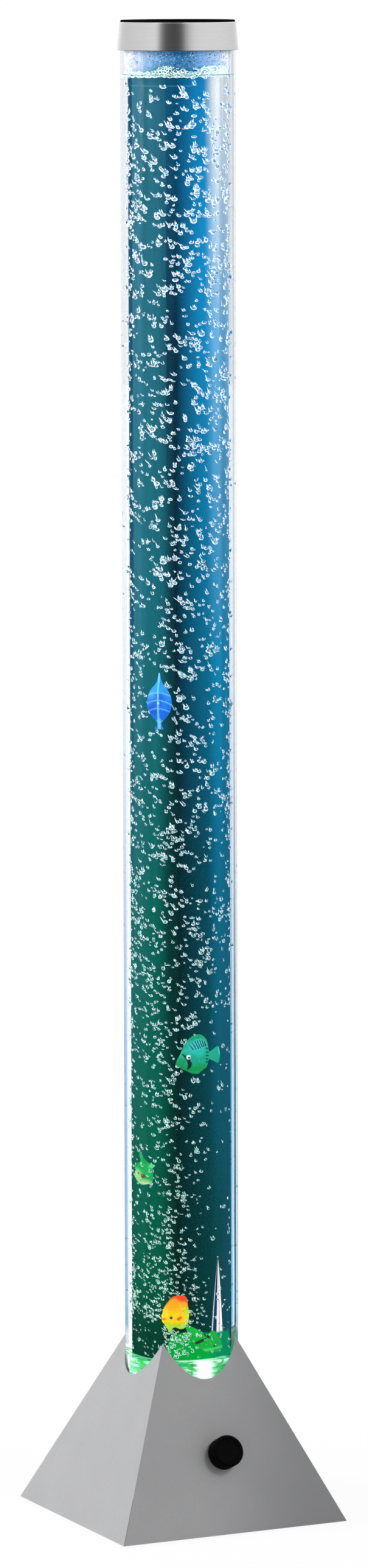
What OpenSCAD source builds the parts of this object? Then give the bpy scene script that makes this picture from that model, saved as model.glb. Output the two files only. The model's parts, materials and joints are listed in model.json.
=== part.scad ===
// Bubble tube floor lamp: a clear tube of water on a pyramid base, lit and aerated from below.
// Millimetres, +Z up. The origin is the centre of the footprint, on the floor.
// The front face, with the knob, looks towards -Y.

/* [Base] */
// Width of the pyramid at the floor
base_w = 200; // [196:1:208]
// Height at which the four faces would meet
apex_h = 219; // [214:1:224]
// Height of the cover's lower edge above the floor
skirt_z = 2; // [1.5:0.1:2.5]
// Thickness of the folded sheet
cover_t = 1.5; // [1.2:0.1:1.8]

/* [Tube] */
// Outer diameter of the tube
tube_d = 92; // [90:1:94]
// Wall of the tube
tube_wall = 3; // [2.5:0.5:3.5]
// Height of the tube's upper end
tube_top = 1194; // [900:1:1500]
// Height of the plug's upper face, which is the floor of the water
water_floor = 132; // [130:1:134]

/* [Cap] */
// Diameter of the cap at its lower edge
cap_low_d = 96.6; // [96:0.1:98]
// Diameter of the cap at its upper edge
cap_high_d = 93; // [92.5:0.1:95]
// Depth of the cap's skirt over the tube
cap_skirt = 7; // [6:1:12]
// Thickness of the black disc on the cap
cap_top_t = 1.6; // [1.2:0.1:2.5]

/* [Knob] */
// Diameter of the knob over its knurls
knob_d = 26; // [24:1:30]
// Length of the knob
knob_l = 15.4; // [15:0.1:18]
// Height at which the knob's axis leaves the front face
knob_z = 61; // [58:1:64]
// Number of knurls
knurls = 60; // [40:2:72]

/* [Air] */
// Diameter of the air stone
stone_d = 30; // [24:1:36]
// Outer diameter of the air hose
hose_d = 8; // [7:0.5:9]

/* [Fish] */
// Height of the blue fish
blue_z = 668.5; // [650:0.5:690]
// Height of the striped fish
striped_z = 383.5; // [374:0.5:390]
// Height of the small fish
small_z = 288.5; // [280:0.5:296]
// Height of the orange fish
orange_z = 172; // [170:0.5:180]
// Height of the large green fish
green_z = 149.5; // [147:0.5:152]

/* [Hidden] */

fine = 96;      // facets of the large rounds
small = 32;     // facets of the small rounds
eps = 1;        // how far a cutter runs past the face that it opens
fit = 0.05;     // gap of a glued or running fit

half_w = base_w / 2;
lean = atan(half_w / (apex_h - skirt_z));   // how far the faces lean from the vertical
sheet_w = cover_t / cos(lean);              // the sheet's thickness, measured level
// Half the pyramid's width at a height, outside and inside
function outer_at(z) = (apex_h - z) * tan(lean);
function inner_at(z) = outer_at(z) - sheet_w;

tube_r = tube_d / 2;
bore_r = tube_r - tube_wall;

// Base floor
foot_h = 3;
foot_r = 9;
foot_at = 78;
plate_t = 2;
plate_top = foot_h + plate_t;
rim_t = 1.5;
rim_h = 11;
rim_open = 80;          // half the opening in the rim frame
screw_at = 87;
screw_r = 1.5;
slot_w = 3;
slot_l = 34;
slot_pitch = 7;

// Tube holder
post_at = 40;
post_r = 5;
holder_z = 60;
holder_floor = 5;
holder_lip = 98;
holder_r = 51;
tube_seat = 70;
hose_hole_r = 14;

// Light
carrier_t = 3;
carrier_r = 41;
board_z = 97;
board_t = 1.6;
led_count = 12;
led_ring_r = 27;

// Plug and air outlet
plug_low = 104;
plug_r = bore_r - fit;
rib_pitch = 2.4;
rib_depth = 0.7;
ring_r = 1.5;
stem_r = 4.8;
stem_bore = 1.6;
flange_t = 2;
gasket_t = 1;
stone_h = 8;
stone_z = water_floor + gasket_t + flange_t;
hose_top = 92;
hose_bore = 2.6;
elbow_r = 12;

// Pump, in its own frame: x across, y from its front wall, z from its underside
pump_w = 60;
pump_l = 54;
pump_wall = 2;
pump_h = 32;
lid_t = 4;
pump_y = 22;
pump_z = 8;
outlet_z = 16;
pivot_x = -23;
arm_y = 22.5;
arm_t = 3;
arm_h = 8;
magnet_x = 14;
magnet_w = 8;
magnet_h = 10;
magnet_t = 5;
core_x0 = 1;
core_w = 26;
core_y0 = 31;
core_z0 = 10;
core_h = 12;
leg_w = 4;
pole_w = 8;
coil_gap = 0.1;

// Control
pot_r = 8.2;
pot_l = 10;
bush_r = 3.5;
bush_l = 4.5;
shaft_r = 3;
shaft_l = 13;
flat_at = 2.4;          // distance of the shaft's flat from its axis
nut_t = 2;
knob_gap = 0.6;
knob_skirt = 5;
knurl_depth = 0.5;

// Power inlet, on the rear face
jack_x = -55;
jack_z = 29;
jack_r = 5.5;

// Control board
pcb_x = -62;
pcb_w = 32;
pcb_l = 62;
pcb_z = 11;

// Cap
gasket_h = 1.5;
liner_t = 3;
spigot_l = 8.5;
cap_clear = 0.35;
cap_low = tube_top - cap_skirt;
liner_z = tube_top + gasket_h;
ring_top = liner_z + liner_t + 10.9;

// Where the fish lie, as seen from above: direction, and distance from the axis
blue_at = [-139.8, 38];
striped_at = [-97.4, 36.5];
small_at = [-162, 37];
orange_at = [-124, 38.5];
green_at = [-87, 33.2];

// Points that the inner leads pass, from end to end
lead_r = 1.4;
jack_route = [
    [-55, 74.6, 23], [-55, 70, 20.9], [-58, 62, 18], [-61, 52, 17],
    [-62, 42, 17], [-62, 34, 17], [-62, 26, 17]
];
pump_route = [
    [-46, 12, 17], [-42, 12, 17], [-38, 17, 18.5], [-36, 23, 19.6],
    [-34, 27, 20], [-30, 27, 20], [-26, 27, 20]
];
led_route = [
    [-53, -20, 22.6], [-53, -20, 26], [-51, -21, 36], [-44, -19, 44], [-32, -14, 50], [-19, -7, 54],
    [-12, -3.6, 58], [-11, -3, 66], [-11.5, -3, 78], [-16, -5, 88], [-20, -8, 93], [-20, -8, 97]
];
pot_route = [
    [0, -72, 44.8], [-3, -69, 40], [-14, -62, 34], [-30, -56, 28], [-44, -49, 23], [-51, -38, 19],
    [-51, -30, 16.8], [-53, -26.6, 16], [-56, -26.6, 16]
];

// ---------------------------------------------------------------- helpers

// The pyramid, its faces moved inwards, from a level upwards
module pyramid(inset = 0, low = skirt_z) {
    top = apex_h - inset / sin(lean);
    half = (top - low) * tan(lean);
    outline = [[-half, low], [half, low], [0, top]];
    intersection() {
        rotate([90, 0, 0]) linear_extrude(2 * half, center = true) polygon(outline);
        rotate([90, 0, 90]) linear_extrude(2 * half, center = true) polygon(outline);
    }
}

// A square slab about the axis
module slab(half, low, high) {
    translate([-half, -half, low]) cube([2 * half, 2 * half, high - low]);
}

// A box on its floor, centred in x and y
module block(size) {
    translate([-size[0] / 2, -size[1] / 2, 0]) cube(size);
}

// A round washer or tube
module ring(outer, inner, h) {
    difference() {
        cylinder(r = outer, h = h, $fn = fine);
        translate([0, 0, -eps]) cylinder(r = inner, h = h + 2 * eps, $fn = fine);
    }
}

// A six-sided nut with a hole
module hex_nut(across, hole, h) {
    difference() {
        cylinder(d = across / cos(30), h = h, $fn = 6);
        translate([0, 0, -eps]) cylinder(r = hole, h = h + 2 * eps, $fn = small);
    }
}

// The four corners of a square
module corners(at) {
    for (x = [-at, at], y = [-at, at]) translate([x, y, 0]) children();
}

// The four corners and four edge middles of a square
module eight(at) {
    corners(at) children();
    for (a = [0:90:270]) rotate(a) translate([at, 0, 0]) children();
}

// A frame on the front face: z along its normal, y up the slope
module on_front(z) {
    translate([0, -outer_at(z), z]) rotate([90 - lean, 0, 0]) children();
}

// The same on the rear face
module on_rear(x, z) {
    rotate(180) translate([-x, 0, 0]) on_front(z) children();
}

// The pump's own frame
module in_pump() {
    translate([0, pump_y, pump_z]) children();
}

// Direction of one route point, from its neighbours
function heading(p, i) = let (d = p[min(i + 1, len(p) - 1)] - p[max(i - 1, 0)]) d / norm(d);
// A unit vector across a direction
function across(d) = let (c = cross(d, [0.31, 0.17, 0.93])) c / norm(c);

// A round lead along a route, as rings of points
module lead(route, r = lead_r, sides = 8) {
    n = len(route);
    points = [
        for (i = [0:n - 1], k = [0:sides - 1])
            let (d = heading(route, i), u = across(d), v = cross(d, u), a = 360 * k / sides)
                route[i] + r * (cos(a) * u + sin(a) * v)
    ];
    walls = [
        for (i = [0:n - 2], k = [0:sides - 1])
            let (a = i * sides + k, b = i * sides + (k + 1) % sides)
                each [[a, a + sides, b + sides], [a, b + sides, b]]
    ];
    ends = [[for (k = [0:sides - 1]) k], [for (k = [sides - 1:-1:0]) (n - 1) * sides + k]];
    polyhedron(points, concat(walls, ends), convexity = 6);
}

// ---------------------------------------------------------------- base

module base_cover() {
    seam_w = 0.4;
    seam_l = 80;
    diagonal = half_w * sqrt(2);
    color("silver") difference() {
        pyramid();
        pyramid(cover_t, skirt_z - eps);
        translate([0, 0, holder_z]) cylinder(r = tube_r + 0.3, h = apex_h, $fn = fine);
        on_front(knob_z) translate([0, 0, -3 * cover_t])
            cylinder(r = bush_r + 0.1, h = 6 * cover_t, $fn = small);
        on_rear(jack_x, jack_z) translate([0, 0, -3 * cover_t])
            cylinder(r = jack_r + 0.1, h = 6 * cover_t, $fn = small);
        // Seams where the folded faces meet, open at the foot of each arris
        for (a = [45:90:315]) rotate(a) translate([diagonal, 0, skirt_z])
            rotate([0, -atan(diagonal / (apex_h - skirt_z)), 0]) cube([1.2, seam_w, seam_l], center = true);
    }
}

module rim_frame() {
    color("gray") difference() {
        intersection() {
            pyramid(cover_t);
            slab(half_w, plate_top, plate_top + rim_h);
        }
        intersection() {
            pyramid(cover_t + rim_t);
            slab(half_w, plate_top + rim_t, plate_top + rim_h + eps);
        }
        slab(rim_open, 0, plate_top + 2 * rim_t);
        translate([0, 0, plate_top - eps]) eight(screw_at)
            cylinder(r = screw_r + fit, h = 2 * rim_t, $fn = small);
    }
}

module base_plate() {
    color("dimgray") difference() {
        slab(inner_at(plate_top) - 0.5, foot_h, plate_top);
        translate([0, 0, foot_h - eps]) {
            eight(screw_at) cylinder(r = screw_r + 0.3, h = plate_t + 2 * eps, $fn = small);
            corners(post_at) cylinder(r = screw_r + 0.3, h = plate_t + 2 * eps, $fn = small);
        }
        // Air slots under the pump and under the light
        for (side = [-1, 1], i = [-3:2])
            translate([side * 30 - slot_l / 2, i * slot_pitch, foot_h - eps])
                cube([slot_l, slot_w, plate_t + 2 * eps]);
    }
}

// A pan-head screw that points up, its head under z = 0
module pan_screw(length) {
    rotate_extrude($fn = small) polygon([
        [0, -1.5], [1.6, -1.5], [2.6, -1.1], [3, 0], [screw_r, 0], [screw_r, length], [0, length]
    ]);
}

module base_screws() {
    color("lightgray") translate([0, 0, foot_h]) eight(screw_at) pan_screw(5);
}

module feet() {
    color([0.1, 0.1, 0.1]) corners(foot_at) rotate_extrude($fn = 48) polygon([
        [0, 0], [foot_r - 0.8, 0], [foot_r, 0.8], [foot_r - 0.4, foot_h], [0, foot_h]
    ]);
}

// ---------------------------------------------------------------- tube and its holder

module holder_posts() {
    color("gainsboro") translate([0, 0, plate_top]) corners(post_at) difference() {
        cylinder(r = post_r, h = holder_z - plate_top, $fn = small);
        translate([0, 0, -eps]) cylinder(r = screw_r + fit, h = holder_z, $fn = small);
    }
}

module holder_screws() {
    color("lightgray") {
        translate([0, 0, foot_h]) corners(post_at) pan_screw(10);
        translate([0, 0, holder_z + holder_floor]) corners(post_at) mirror([0, 0, 1]) pan_screw(12);
    }
}

module tube_holder() {
    ear_from = 40;
    ear_l = 23;
    ear_w = 16;
    rib_t = 3;
    color([0.12, 0.12, 0.13]) translate([0, 0, holder_z]) difference() {
        union() {
            cylinder(r = holder_r, h = holder_lip - holder_z, $fn = fine);
            // Ears over the posts, and ribs from the ears up the cup
            for (a = [45:90:315]) rotate(a) {
                translate([ear_from, -ear_w / 2, 0]) cube([ear_l, ear_w, holder_floor]);
                for (y = [-ear_w / 2, ear_w / 2 - rib_t])
                    translate([ear_from, y, 0]) cube([holder_r - ear_from + 5, rib_t, holder_floor + 14]);
            }
        }
        corners(post_at) translate([0, 0, -eps])
            cylinder(r = screw_r + fit, h = holder_floor + 2 * eps, $fn = small);
        translate([0, 0, holder_floor]) cylinder(r = carrier_r + 0.5, h = holder_lip, $fn = fine);
        translate([0, 0, tube_seat - holder_z]) cylinder(r = tube_r + fit, h = holder_lip, $fn = fine);
        translate([0, 0, -eps]) cylinder(r = hose_hole_r, h = holder_lip, $fn = fine);
    }
}

module tube() {
    color([0.8, 0.92, 1, 0.25]) translate([0, 0, tube_seat]) difference() {
        cylinder(r = tube_r, h = tube_top - tube_seat, $fn = fine);
        translate([0, 0, -eps]) cylinder(r = bore_r, h = tube_top, $fn = fine);
    }
}

module bottom_plug() {
    rib_low = 116;
    ribs = floor((water_floor - 2 - rib_low) / rib_pitch);
    outline = concat(
        [[stem_r + fit, plug_low], [plug_r - 1, plug_low], [plug_r, plug_low + 1]],
        [for (z = [107, 111.5]) each [
            [plug_r, z], [plug_r - 2 * ring_r, z],
            [plug_r - 2 * ring_r, z + 2 * ring_r], [plug_r, z + 2 * ring_r]
        ]],
        [for (i = [0:ribs - 1]) let (z = rib_low + i * rib_pitch) each [
            [plug_r, z], [plug_r - rib_depth, z + 0.6], [plug_r - rib_depth, z + 1], [plug_r, z + 1.6]
        ]],
        [[plug_r, water_floor - 0.8], [plug_r - 0.8, water_floor], [stem_r + fit, water_floor]]
    );
    color([0.55, 0.95, 0.75, 0.6]) rotate_extrude($fn = fine) polygon(outline);
}

module plug_rings() {
    color([0.1, 0.1, 0.1]) for (z = [107, 111.5])
        translate([0, 0, z + ring_r]) rotate_extrude($fn = fine)
            translate([plug_r - ring_r, 0]) circle(r = ring_r - 0.04, $fn = 24);
}

// ---------------------------------------------------------------- air outlet

module air_stone() {
    seat = 9.2;
    color("tan") difference() {
        rotate_extrude($fn = 64) polygon([
            [stem_bore, stone_z], [stone_d / 2 - 1, stone_z], [stone_d / 2, stone_z + 1],
            [stone_d / 2, stone_z + stone_h - 2], [stone_d / 2 - 2, stone_z + stone_h],
            [0, stone_z + stone_h],
            [0, stone_z + stone_h - 3], [stem_bore, stone_z + stone_h - 3]
        ]);
        // Small outlets in rings on the upper face
        for (r = [5, seat, 12.4], k = [0:2 * r - 1]) rotate(180 * k / r)
            translate([r, 0, stone_z + stone_h - 1]) cylinder(r = 0.5, h = 2, $fn = 14);
    }
}

module air_stem() {
    barb_z = hose_top - 8;
    thread_z = board_z - 1;
    flange_z = water_floor + gasket_t;
    color("goldenrod") rotate_extrude($fn = 48) polygon([
        [stem_bore, barb_z], [2.3, barb_z], [2.55, barb_z + 3], [2.3, barb_z + 3], [2.55, barb_z + 6],
        [2.3, barb_z + 6], [2.55, hose_top], [stem_r, hose_top], [stem_r, flange_z],
        [9, flange_z], [9, flange_z + flange_t], [stem_bore, flange_z + flange_t]
    ]);
}

module stem_gasket() {
    color([0.1, 0.1, 0.1]) translate([0, 0, water_floor]) ring(8.5, stem_r + fit, gasket_t);
}

module stem_nut() {
    nut_h = 3.5;
    color("goldenrod") translate([0, 0, plug_low - nut_h]) hex_nut(14, stem_r + fit, nut_h);
}

module hose_run(length) {
    ring(hose_d / 2, hose_bore, length);
}

module air_hose() {
    low_z = pump_z + outlet_z;
    valve_low = 50;
    valve_high = 68;
    color([0.85, 0.88, 0.9, 0.6]) {
        // From the pump's barb, round the elbow, up to the check valve
        translate([0, elbow_r, low_z]) rotate([-90, 0, 0]) hose_run(pump_y - elbow_r - 1);
        translate([0, elbow_r, low_z + elbow_r]) rotate([0, 90, 180])
            rotate_extrude(angle = 90, $fn = 48) translate([elbow_r, 0]) difference() {
                circle(d = hose_d, $fn = small);
                circle(r = hose_bore, $fn = small);
            }
        translate([0, 0, low_z + elbow_r]) hose_run(valve_low - low_z - elbow_r);
        // From the check valve to the stem
        translate([0, 0, valve_high]) hose_run(hose_top - valve_high - 0.5);
    }
}

module check_valve() {
    color("whitesmoke") difference() {
        rotate_extrude($fn = 48) polygon([
            [0, 43], [2.5, 43], [2.5, 50], [6, 50.5], [8, 52], [8, 58.6], [8.6, 58.6], [8.6, 59.4],
            [8, 59.4], [8, 66], [6, 67.5], [2.5, 68], [2.5, 75], [0, 75]
        ]);
        translate([0, 0, 40]) cylinder(r = 1.4, h = 40, $fn = small);
    }
}

// ---------------------------------------------------------------- light

module led_carrier() {
    low = holder_z + holder_floor;
    color("gainsboro") difference() {
        translate([0, 0, low]) cylinder(r = carrier_r, h = board_z - low, $fn = fine);
        translate([0, 0, low + 2]) cylinder(r = carrier_r - carrier_t, h = board_z, $fn = fine);
        translate([0, 0, low - eps]) cylinder(r = hose_hole_r, h = board_z, $fn = fine);
    }
}

module led_board() {
    color("white") translate([0, 0, board_z]) ring(carrier_r, hose_hole_r - 4, board_t);
}

module led_chips() {
    color("lightyellow") translate([0, 0, board_z + board_t]) for (k = [0:led_count - 1])
        rotate(360 * k / led_count) translate([led_ring_r, 0, 0]) {
            difference() {
                block([5, 5, 1.6]);
                translate([0, 0, 1.2]) cylinder(r = 2, h = 1, $fn = small);
            }
        }
}

// ---------------------------------------------------------------- air pump

module pump_body() {
    inner_w = pump_w - 2 * pump_wall;
    inner_l = pump_l - 2 * pump_wall;
    color([0.2, 0.22, 0.24]) in_pump() {
        difference() {
            translate([0, pump_l / 2, 0]) block([pump_w, pump_l, pump_h]);
            translate([0, pump_l / 2, pump_wall]) block([inner_w, inner_l, pump_h]);
            // Outlet in the front wall, lead entry in the left wall
            translate([0, -eps, outlet_z]) rotate([-90, 0, 0])
                cylinder(r = 3.1, h = 2 * pump_wall, $fn = small);
            translate([-pump_w / 2 - eps, 5, pump_h / 2 - 4]) rotate([0, 90, 0])
                cylinder(r = 1.6, h = 2 * pump_wall, $fn = small);
        }
        // Pedestal under the core, and the boss that takes the arm's pin
        translate([core_x0 + 2, core_y0 + 14, pump_wall]) cube([core_w - 4, 5, core_z0 - pump_wall]);
        translate([pivot_x, arm_y, pump_wall]) ring(3.6, 1.5, 7);
    }
}

module pump_lid() {
    color([0.25, 0.27, 0.29]) in_pump() translate([0, pump_l / 2, pump_h]) difference() {
        union() {
            block([pump_w, pump_l, lid_t - 1]);
            block([pump_w - 3, pump_l - 3, lid_t]);
            // Rim that drops inside the walls
            translate([0, 0, -2]) difference() {
                block([pump_w - 2 * pump_wall - 0.4, pump_l - 2 * pump_wall - 0.4, 2]);
                translate([0, 0, -eps]) block([pump_w - 2 * pump_wall - 3, pump_l - 2 * pump_wall - 3, 4]);
            }
        }
        for (i = [-3:3]) translate([i * 6, 0, lid_t - 0.8]) block([2, pump_l - 16, 2]);
    }
}

module pump_feet() {
    color([0.1, 0.1, 0.1]) for (x = [-24, 24], y = [pump_y + 6, pump_y + pump_l - 6])
        translate([x, y, plate_top]) cylinder(r1 = 5, r2 = 4, h = pump_z - plate_top, $fn = small);
}

module pump_core() {
    back_y = core_y0 + 14;
    color("dimgray") in_pump() translate([core_x0, 0, core_z0]) {
        translate([0, back_y, 0]) cube([core_w, 5, core_h]);
        for (x = [0, core_w - leg_w]) translate([x, core_y0, 0]) cube([leg_w, 14.2, core_h]);
        translate([core_w / 2 - pole_w / 2, core_y0, 0]) cube([pole_w, 14.2, core_h]);
    }
}

// A frame around the core's middle leg
module around_pole(wall, inner, y0, y1) {
    translate([core_x0 + core_w / 2, y0, core_z0 + core_h / 2]) rotate([-90, 0, 0]) difference() {
        block([pole_w + 2 * (inner + wall), core_h + 2 * (inner + wall), y1 - y0]);
        translate([0, 0, -eps]) block([pole_w + 2 * inner, core_h + 2 * inner, y1 - y0 + 2 * eps]);
    }
}

module pump_bobbin() {
    color("white") in_pump() {
        around_pole(0.9, coil_gap, core_y0 + 2, core_y0 + 13.9);
        around_pole(4.7, coil_gap, core_y0 + 2, core_y0 + 3);
        around_pole(4.7, coil_gap, core_y0 + 12.9, core_y0 + 13.9);
    }
}

module pump_coil() {
    color("chocolate") in_pump() around_pole(3.4, coil_gap + 1, core_y0 + 3.1, core_y0 + 12.8);
}

module pump_arm() {
    arm_z = outlet_z - arm_h / 2;
    color("lightsteelblue") in_pump() difference() {
        union() {
            translate([pivot_x, arm_y - arm_t / 2, arm_z])
                cube([magnet_x + magnet_w / 2 - pivot_x, arm_t, arm_h]);
            translate([pivot_x, arm_y, arm_z - 2]) cylinder(r = 4, h = arm_h + 4, $fn = small);
        }
        translate([pivot_x, arm_y, 0]) cylinder(r = 1.55, h = pump_h, $fn = small);
    }
}

module arm_magnet() {
    color("slategray") in_pump()
        translate([magnet_x, arm_y + arm_t / 2 + magnet_t / 2, outlet_z - magnet_h / 2])
            block([magnet_w, magnet_t, magnet_h]);
}

module arm_pin() {
    color("lightgray") in_pump() translate([pivot_x, arm_y, pump_wall])
        cylinder(r = 1.48, h = 24, $fn = small);
}

module valve_block() {
    barb = 9;
    color("ivory") in_pump() difference() {
        union() {
            translate([-11, pump_wall, outlet_z - 10]) cube([22, 12, 20]);
            translate([0, pump_wall + 1, outlet_z]) rotate([90, 0, 0]) rotate_extrude($fn = small) polygon([
                [0, 0], [3.05, 0], [3.05, 3.4], [2.3, 3.4], [2.55, 6], [2.3, 6],
                [2.55, barb], [2.3, barb + 2], [0, barb + 2]
            ]);
        }
        translate([0, pump_wall + 15, outlet_z]) rotate([90, 0, 0]) cylinder(r = 1.4, h = 30, $fn = small);
        translate([0, pump_wall + 13, outlet_z]) rotate([90, 0, 0]) cylinder(r = 7, h = 2.5, $fn = small);
    }
}

module pump_diaphragm() {
    color([0.1, 0.1, 0.1]) in_pump() translate([0, pump_wall + 12, outlet_z]) rotate([-90, 0, 0])
        rotate_extrude($fn = 48) polygon([
            [0, 3], [5, 3], [8.4, 0], [10, 0], [10, 1.4], [8.8, 1.4], [5.6, 4.2], [4, 4.2], [4, 7], [0, 7]
        ]);
}

// ---------------------------------------------------------------- control knob

module potentiometer() {
    low = -cover_t - pot_l;
    color("darkgray") on_front(knob_z) {
        difference() {
            union() {
                translate([0, 0, low]) cylinder(r = pot_r, h = pot_l - 1, $fn = 48);
                translate([0, 0, -cover_t - 1]) cylinder(r = pot_r - 1, h = 1, $fn = 48);
                translate([0, 0, -cover_t]) cylinder(r = bush_r, h = cover_t + bush_l, $fn = small);
            }
            translate([0, 0, low + 2]) cylinder(r = shaft_r + fit, h = 2 * pot_l, $fn = small);
        }
        // Solder tags
        for (x = [-4, 0, 4]) translate([x, -pot_r - 2, low + 5]) block([1.6, 6, 0.6]);
    }
}

module pot_nut() {
    color("gainsboro") on_front(knob_z) hex_nut(10, bush_r + fit, nut_t);
}

// The flat of the shaft: what lies beyond it
module beyond_flat(from, gap = 0) {
    translate([-5, flat_at + gap, from]) cube([10, 10, 30]);
}

module knob_shaft() {
    low = -cover_t - pot_l + 2.3;
    color("lightgray") on_front(knob_z) difference() {
        translate([0, 0, low]) cylinder(r = shaft_r, h = shaft_l - low, $fn = small);
        beyond_flat(bush_l + 1);
    }
}

// A narrow wedge that runs along the knob's side
module knurl_cut(h) {
    side = knurl_depth * sqrt(2);
    translate([knob_d / 2, 0, 0]) rotate(45) cube([side, side, h], center = true);
}

module knob() {
    r = knob_d / 2;
    color([0.08, 0.08, 0.08]) on_front(knob_z) difference() {
        translate([0, 0, knob_gap]) rotate_extrude($fn = fine) polygon([
            [0, 0], [r - 1.6, 0], [r - 1.6, 1.6], [r, 2.4], [r, knob_l - 1.2], [r - 1.2, knob_l],
            [r - 2.8, knob_l], [r - 3.4, knob_l - 0.6], [0, knob_l - 0.9]
        ]);
        // Hollow over the nut, then the bore that grips the shaft
        translate([0, 0, knob_gap - eps]) cylinder(r = 7.5, h = knob_skirt + eps, $fn = small);
        difference() {
            translate([0, 0, knob_gap]) cylinder(r = shaft_r + 0.02, h = shaft_l, $fn = small);
            beyond_flat(knob_gap + knob_skirt - 0.01, 0.02);
        }
        for (k = [0:knurls - 1]) rotate(360 * k / knurls)
            translate([0, 0, knob_gap + 2.4 + (knob_l - 3.6) / 2]) knurl_cut(knob_l + 4);
        // Pointer line on the face
        translate([-0.5, 5.5, knob_gap + knob_l - 1.2]) cube([1, 4, 2]);
    }
}

// ---------------------------------------------------------------- power inlet and control board

module power_jack() {
    color([0.1, 0.1, 0.1]) on_rear(jack_x, jack_z) {
        difference() {
            union() {
                translate([0, 0, -14]) cylinder(r = jack_r, h = 14, $fn = 48);
                cylinder(r = 7, h = 2, $fn = 48);
            }
            translate([0, 0, -9.5]) cylinder(r = 2.85, h = 14, $fn = small);
        }
        translate([0, 0, -10]) cylinder(r = 1.05, h = 11, $fn = small);
    }
}

module jack_nut() {
    nut_h = 2.5;
    color("gainsboro") on_rear(jack_x, jack_z) translate([0, 0, -cover_t - nut_h])
        hex_nut(14, jack_r + fit, nut_h);
}

module board_standoffs() {
    color("gold") for (x = [-12, 12], y = [-27, 27]) translate([pcb_x + x, y, plate_top])
        cylinder(d = 6, h = pcb_z - plate_top, $fn = 6);
}

module control_board() {
    color("darkgreen") difference() {
        translate([pcb_x, 0, pcb_z]) block([pcb_w, pcb_l, 1.6]);
        for (x = [-12, 12], y = [-27, 27]) translate([pcb_x + x, y, pcb_z - eps])
            cylinder(r = 1.6, h = 4, $fn = small);
    }
}

// Capacitors, transistor with its heat sink, chips and lead sockets
module board_parts() {
    top = pcb_z + 1.6;
    color([0.15, 0.17, 0.3]) for (y = [-4, 8]) translate([pcb_x - 7, y, top]) {
        cylinder(r = 4, h = 11, $fn = small);
    }
    color("silver") translate([pcb_x + 6, -6, top]) {
        block([4, 14, 2]);
        for (x = [-3, -1, 1, 3]) translate([x, 0, 0]) block([0.9, 14, 12]);
    }
    color([0.1, 0.1, 0.1]) {
        translate([pcb_x - 6, -15, top]) block([8, 6, 2]);
        translate([pcb_x + 4, 8, top]) block([6, 5, 1.6]);
    }
    color("ivory") {
        translate([pcb_x, 22, top]) block([8, 8, 6]);
        translate([pcb_x + 13, 12, top]) block([6, 8, 6]);
        translate([pcb_x + 9, -20, top]) block([8, 6, 10]);
        translate([pcb_x + 2, -26.6, top]) block([8, 4, 6]);
    }
}

module jack_lead() { color("black") lead(jack_route); }
module pump_lead() { color("red") lead(pump_route); }
module led_lead() { color("gold") lead(led_route); }
module pot_lead() { color("steelblue") lead(pot_route); }

// ---------------------------------------------------------------- cap

module cap_gasket() {
    color([0.1, 0.1, 0.1]) translate([0, 0, tube_top]) ring(tube_r - 0.2, bore_r + 0.2, gasket_h);
}

module cap_liner() {
    spigot_r = bore_r - 0.4;
    color([0.12, 0.12, 0.13]) difference() {
        rotate_extrude($fn = fine) polygon([
            [0, liner_z], [spigot_r - 2, liner_z],
            [spigot_r - 2, liner_z - spigot_l], [spigot_r - 0.6, liner_z - spigot_l],
            [spigot_r, liner_z - spigot_l + 1], [spigot_r, liner_z], [tube_r + 0.1, liner_z],
            [tube_r + 0.1, liner_z + liner_t], [0, liner_z + liner_t]
        ]);
        // Holes that let the air out
        for (a = [0:60:300]) rotate(a) translate([20, 0, liner_z - eps])
            cylinder(r = 1.5, h = liner_t + 2 * eps, $fn = small);
    }
}

module cap_ring() {
    low_r = cap_low_d / 2;
    high_r = cap_high_d / 2;
    color([0.8, 0.8, 0.82]) rotate_extrude($fn = fine) polygon([
        [tube_r + cap_clear, cap_low], [low_r - 0.3, cap_low], [low_r, cap_low + 0.4],
        [high_r, ring_top - 0.7], [high_r - 0.7, ring_top], [38, ring_top], [38, ring_top - 2],
        [high_r - 2, ring_top - 2], [high_r - 2, liner_z + liner_t], [tube_r + cap_clear, liner_z + liner_t]
    ]);
}

module cap_top() {
    r = cap_high_d / 2 - 0.8;
    color([0.05, 0.05, 0.05]) difference() {
        rotate_extrude($fn = fine) polygon([
            [0, ring_top - 3], [37.8, ring_top - 3], [37.8, ring_top], [r, ring_top],
            [r, ring_top + cap_top_t - 0.5], [r - 0.5, ring_top + cap_top_t], [0, ring_top + cap_top_t]
        ]);
        // Vent hole in a shallow dish
        translate([0, 0, ring_top - 4]) cylinder(r = 2, h = 10, $fn = small);
        translate([0, 0, ring_top + cap_top_t - 0.6]) cylinder(r = 9, h = 2, $fn = 64);
    }
}

// ---------------------------------------------------------------- fish

// Places a fish in the water: it looks away from the axis along -Y of its own frame, z up
module in_water(at, z) {
    rotate(at[0] + 90) translate([0, -at[1], z]) children();
}

// A fish's body: oval rings along x. Each ring is [x, lowest z, highest z, thickness]
module fish_body(rings, sides = 20) {
    last = len(rings) - 1;
    points = [
        for (ring = rings, k = [0:sides - 1])
            let (a = 360 * k / sides, middle = (ring[1] + ring[2]) / 2, half = (ring[2] - ring[1]) / 2)
                [ring[0], ring[3] / 2 * cos(a), middle + half * sin(a)]
    ];
    walls = [
        for (i = [0:last - 1], k = [0:sides - 1])
            let (a = i * sides + k, b = i * sides + (k + 1) % sides)
                each [[a, a + sides, b + sides], [a, b + sides, b]]
    ];
    ends = [[for (k = [0:sides - 1]) k], [for (k = [sides - 1:-1:0]) last * sides + k]];
    polyhedron(points, concat(walls, ends), convexity = 4);
}

// A flat fin in the fish's own plane
module fin(outline, t = 1) {
    rotate([90, 0, 0]) linear_extrude(t, center = true) polygon(outline);
}

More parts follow.
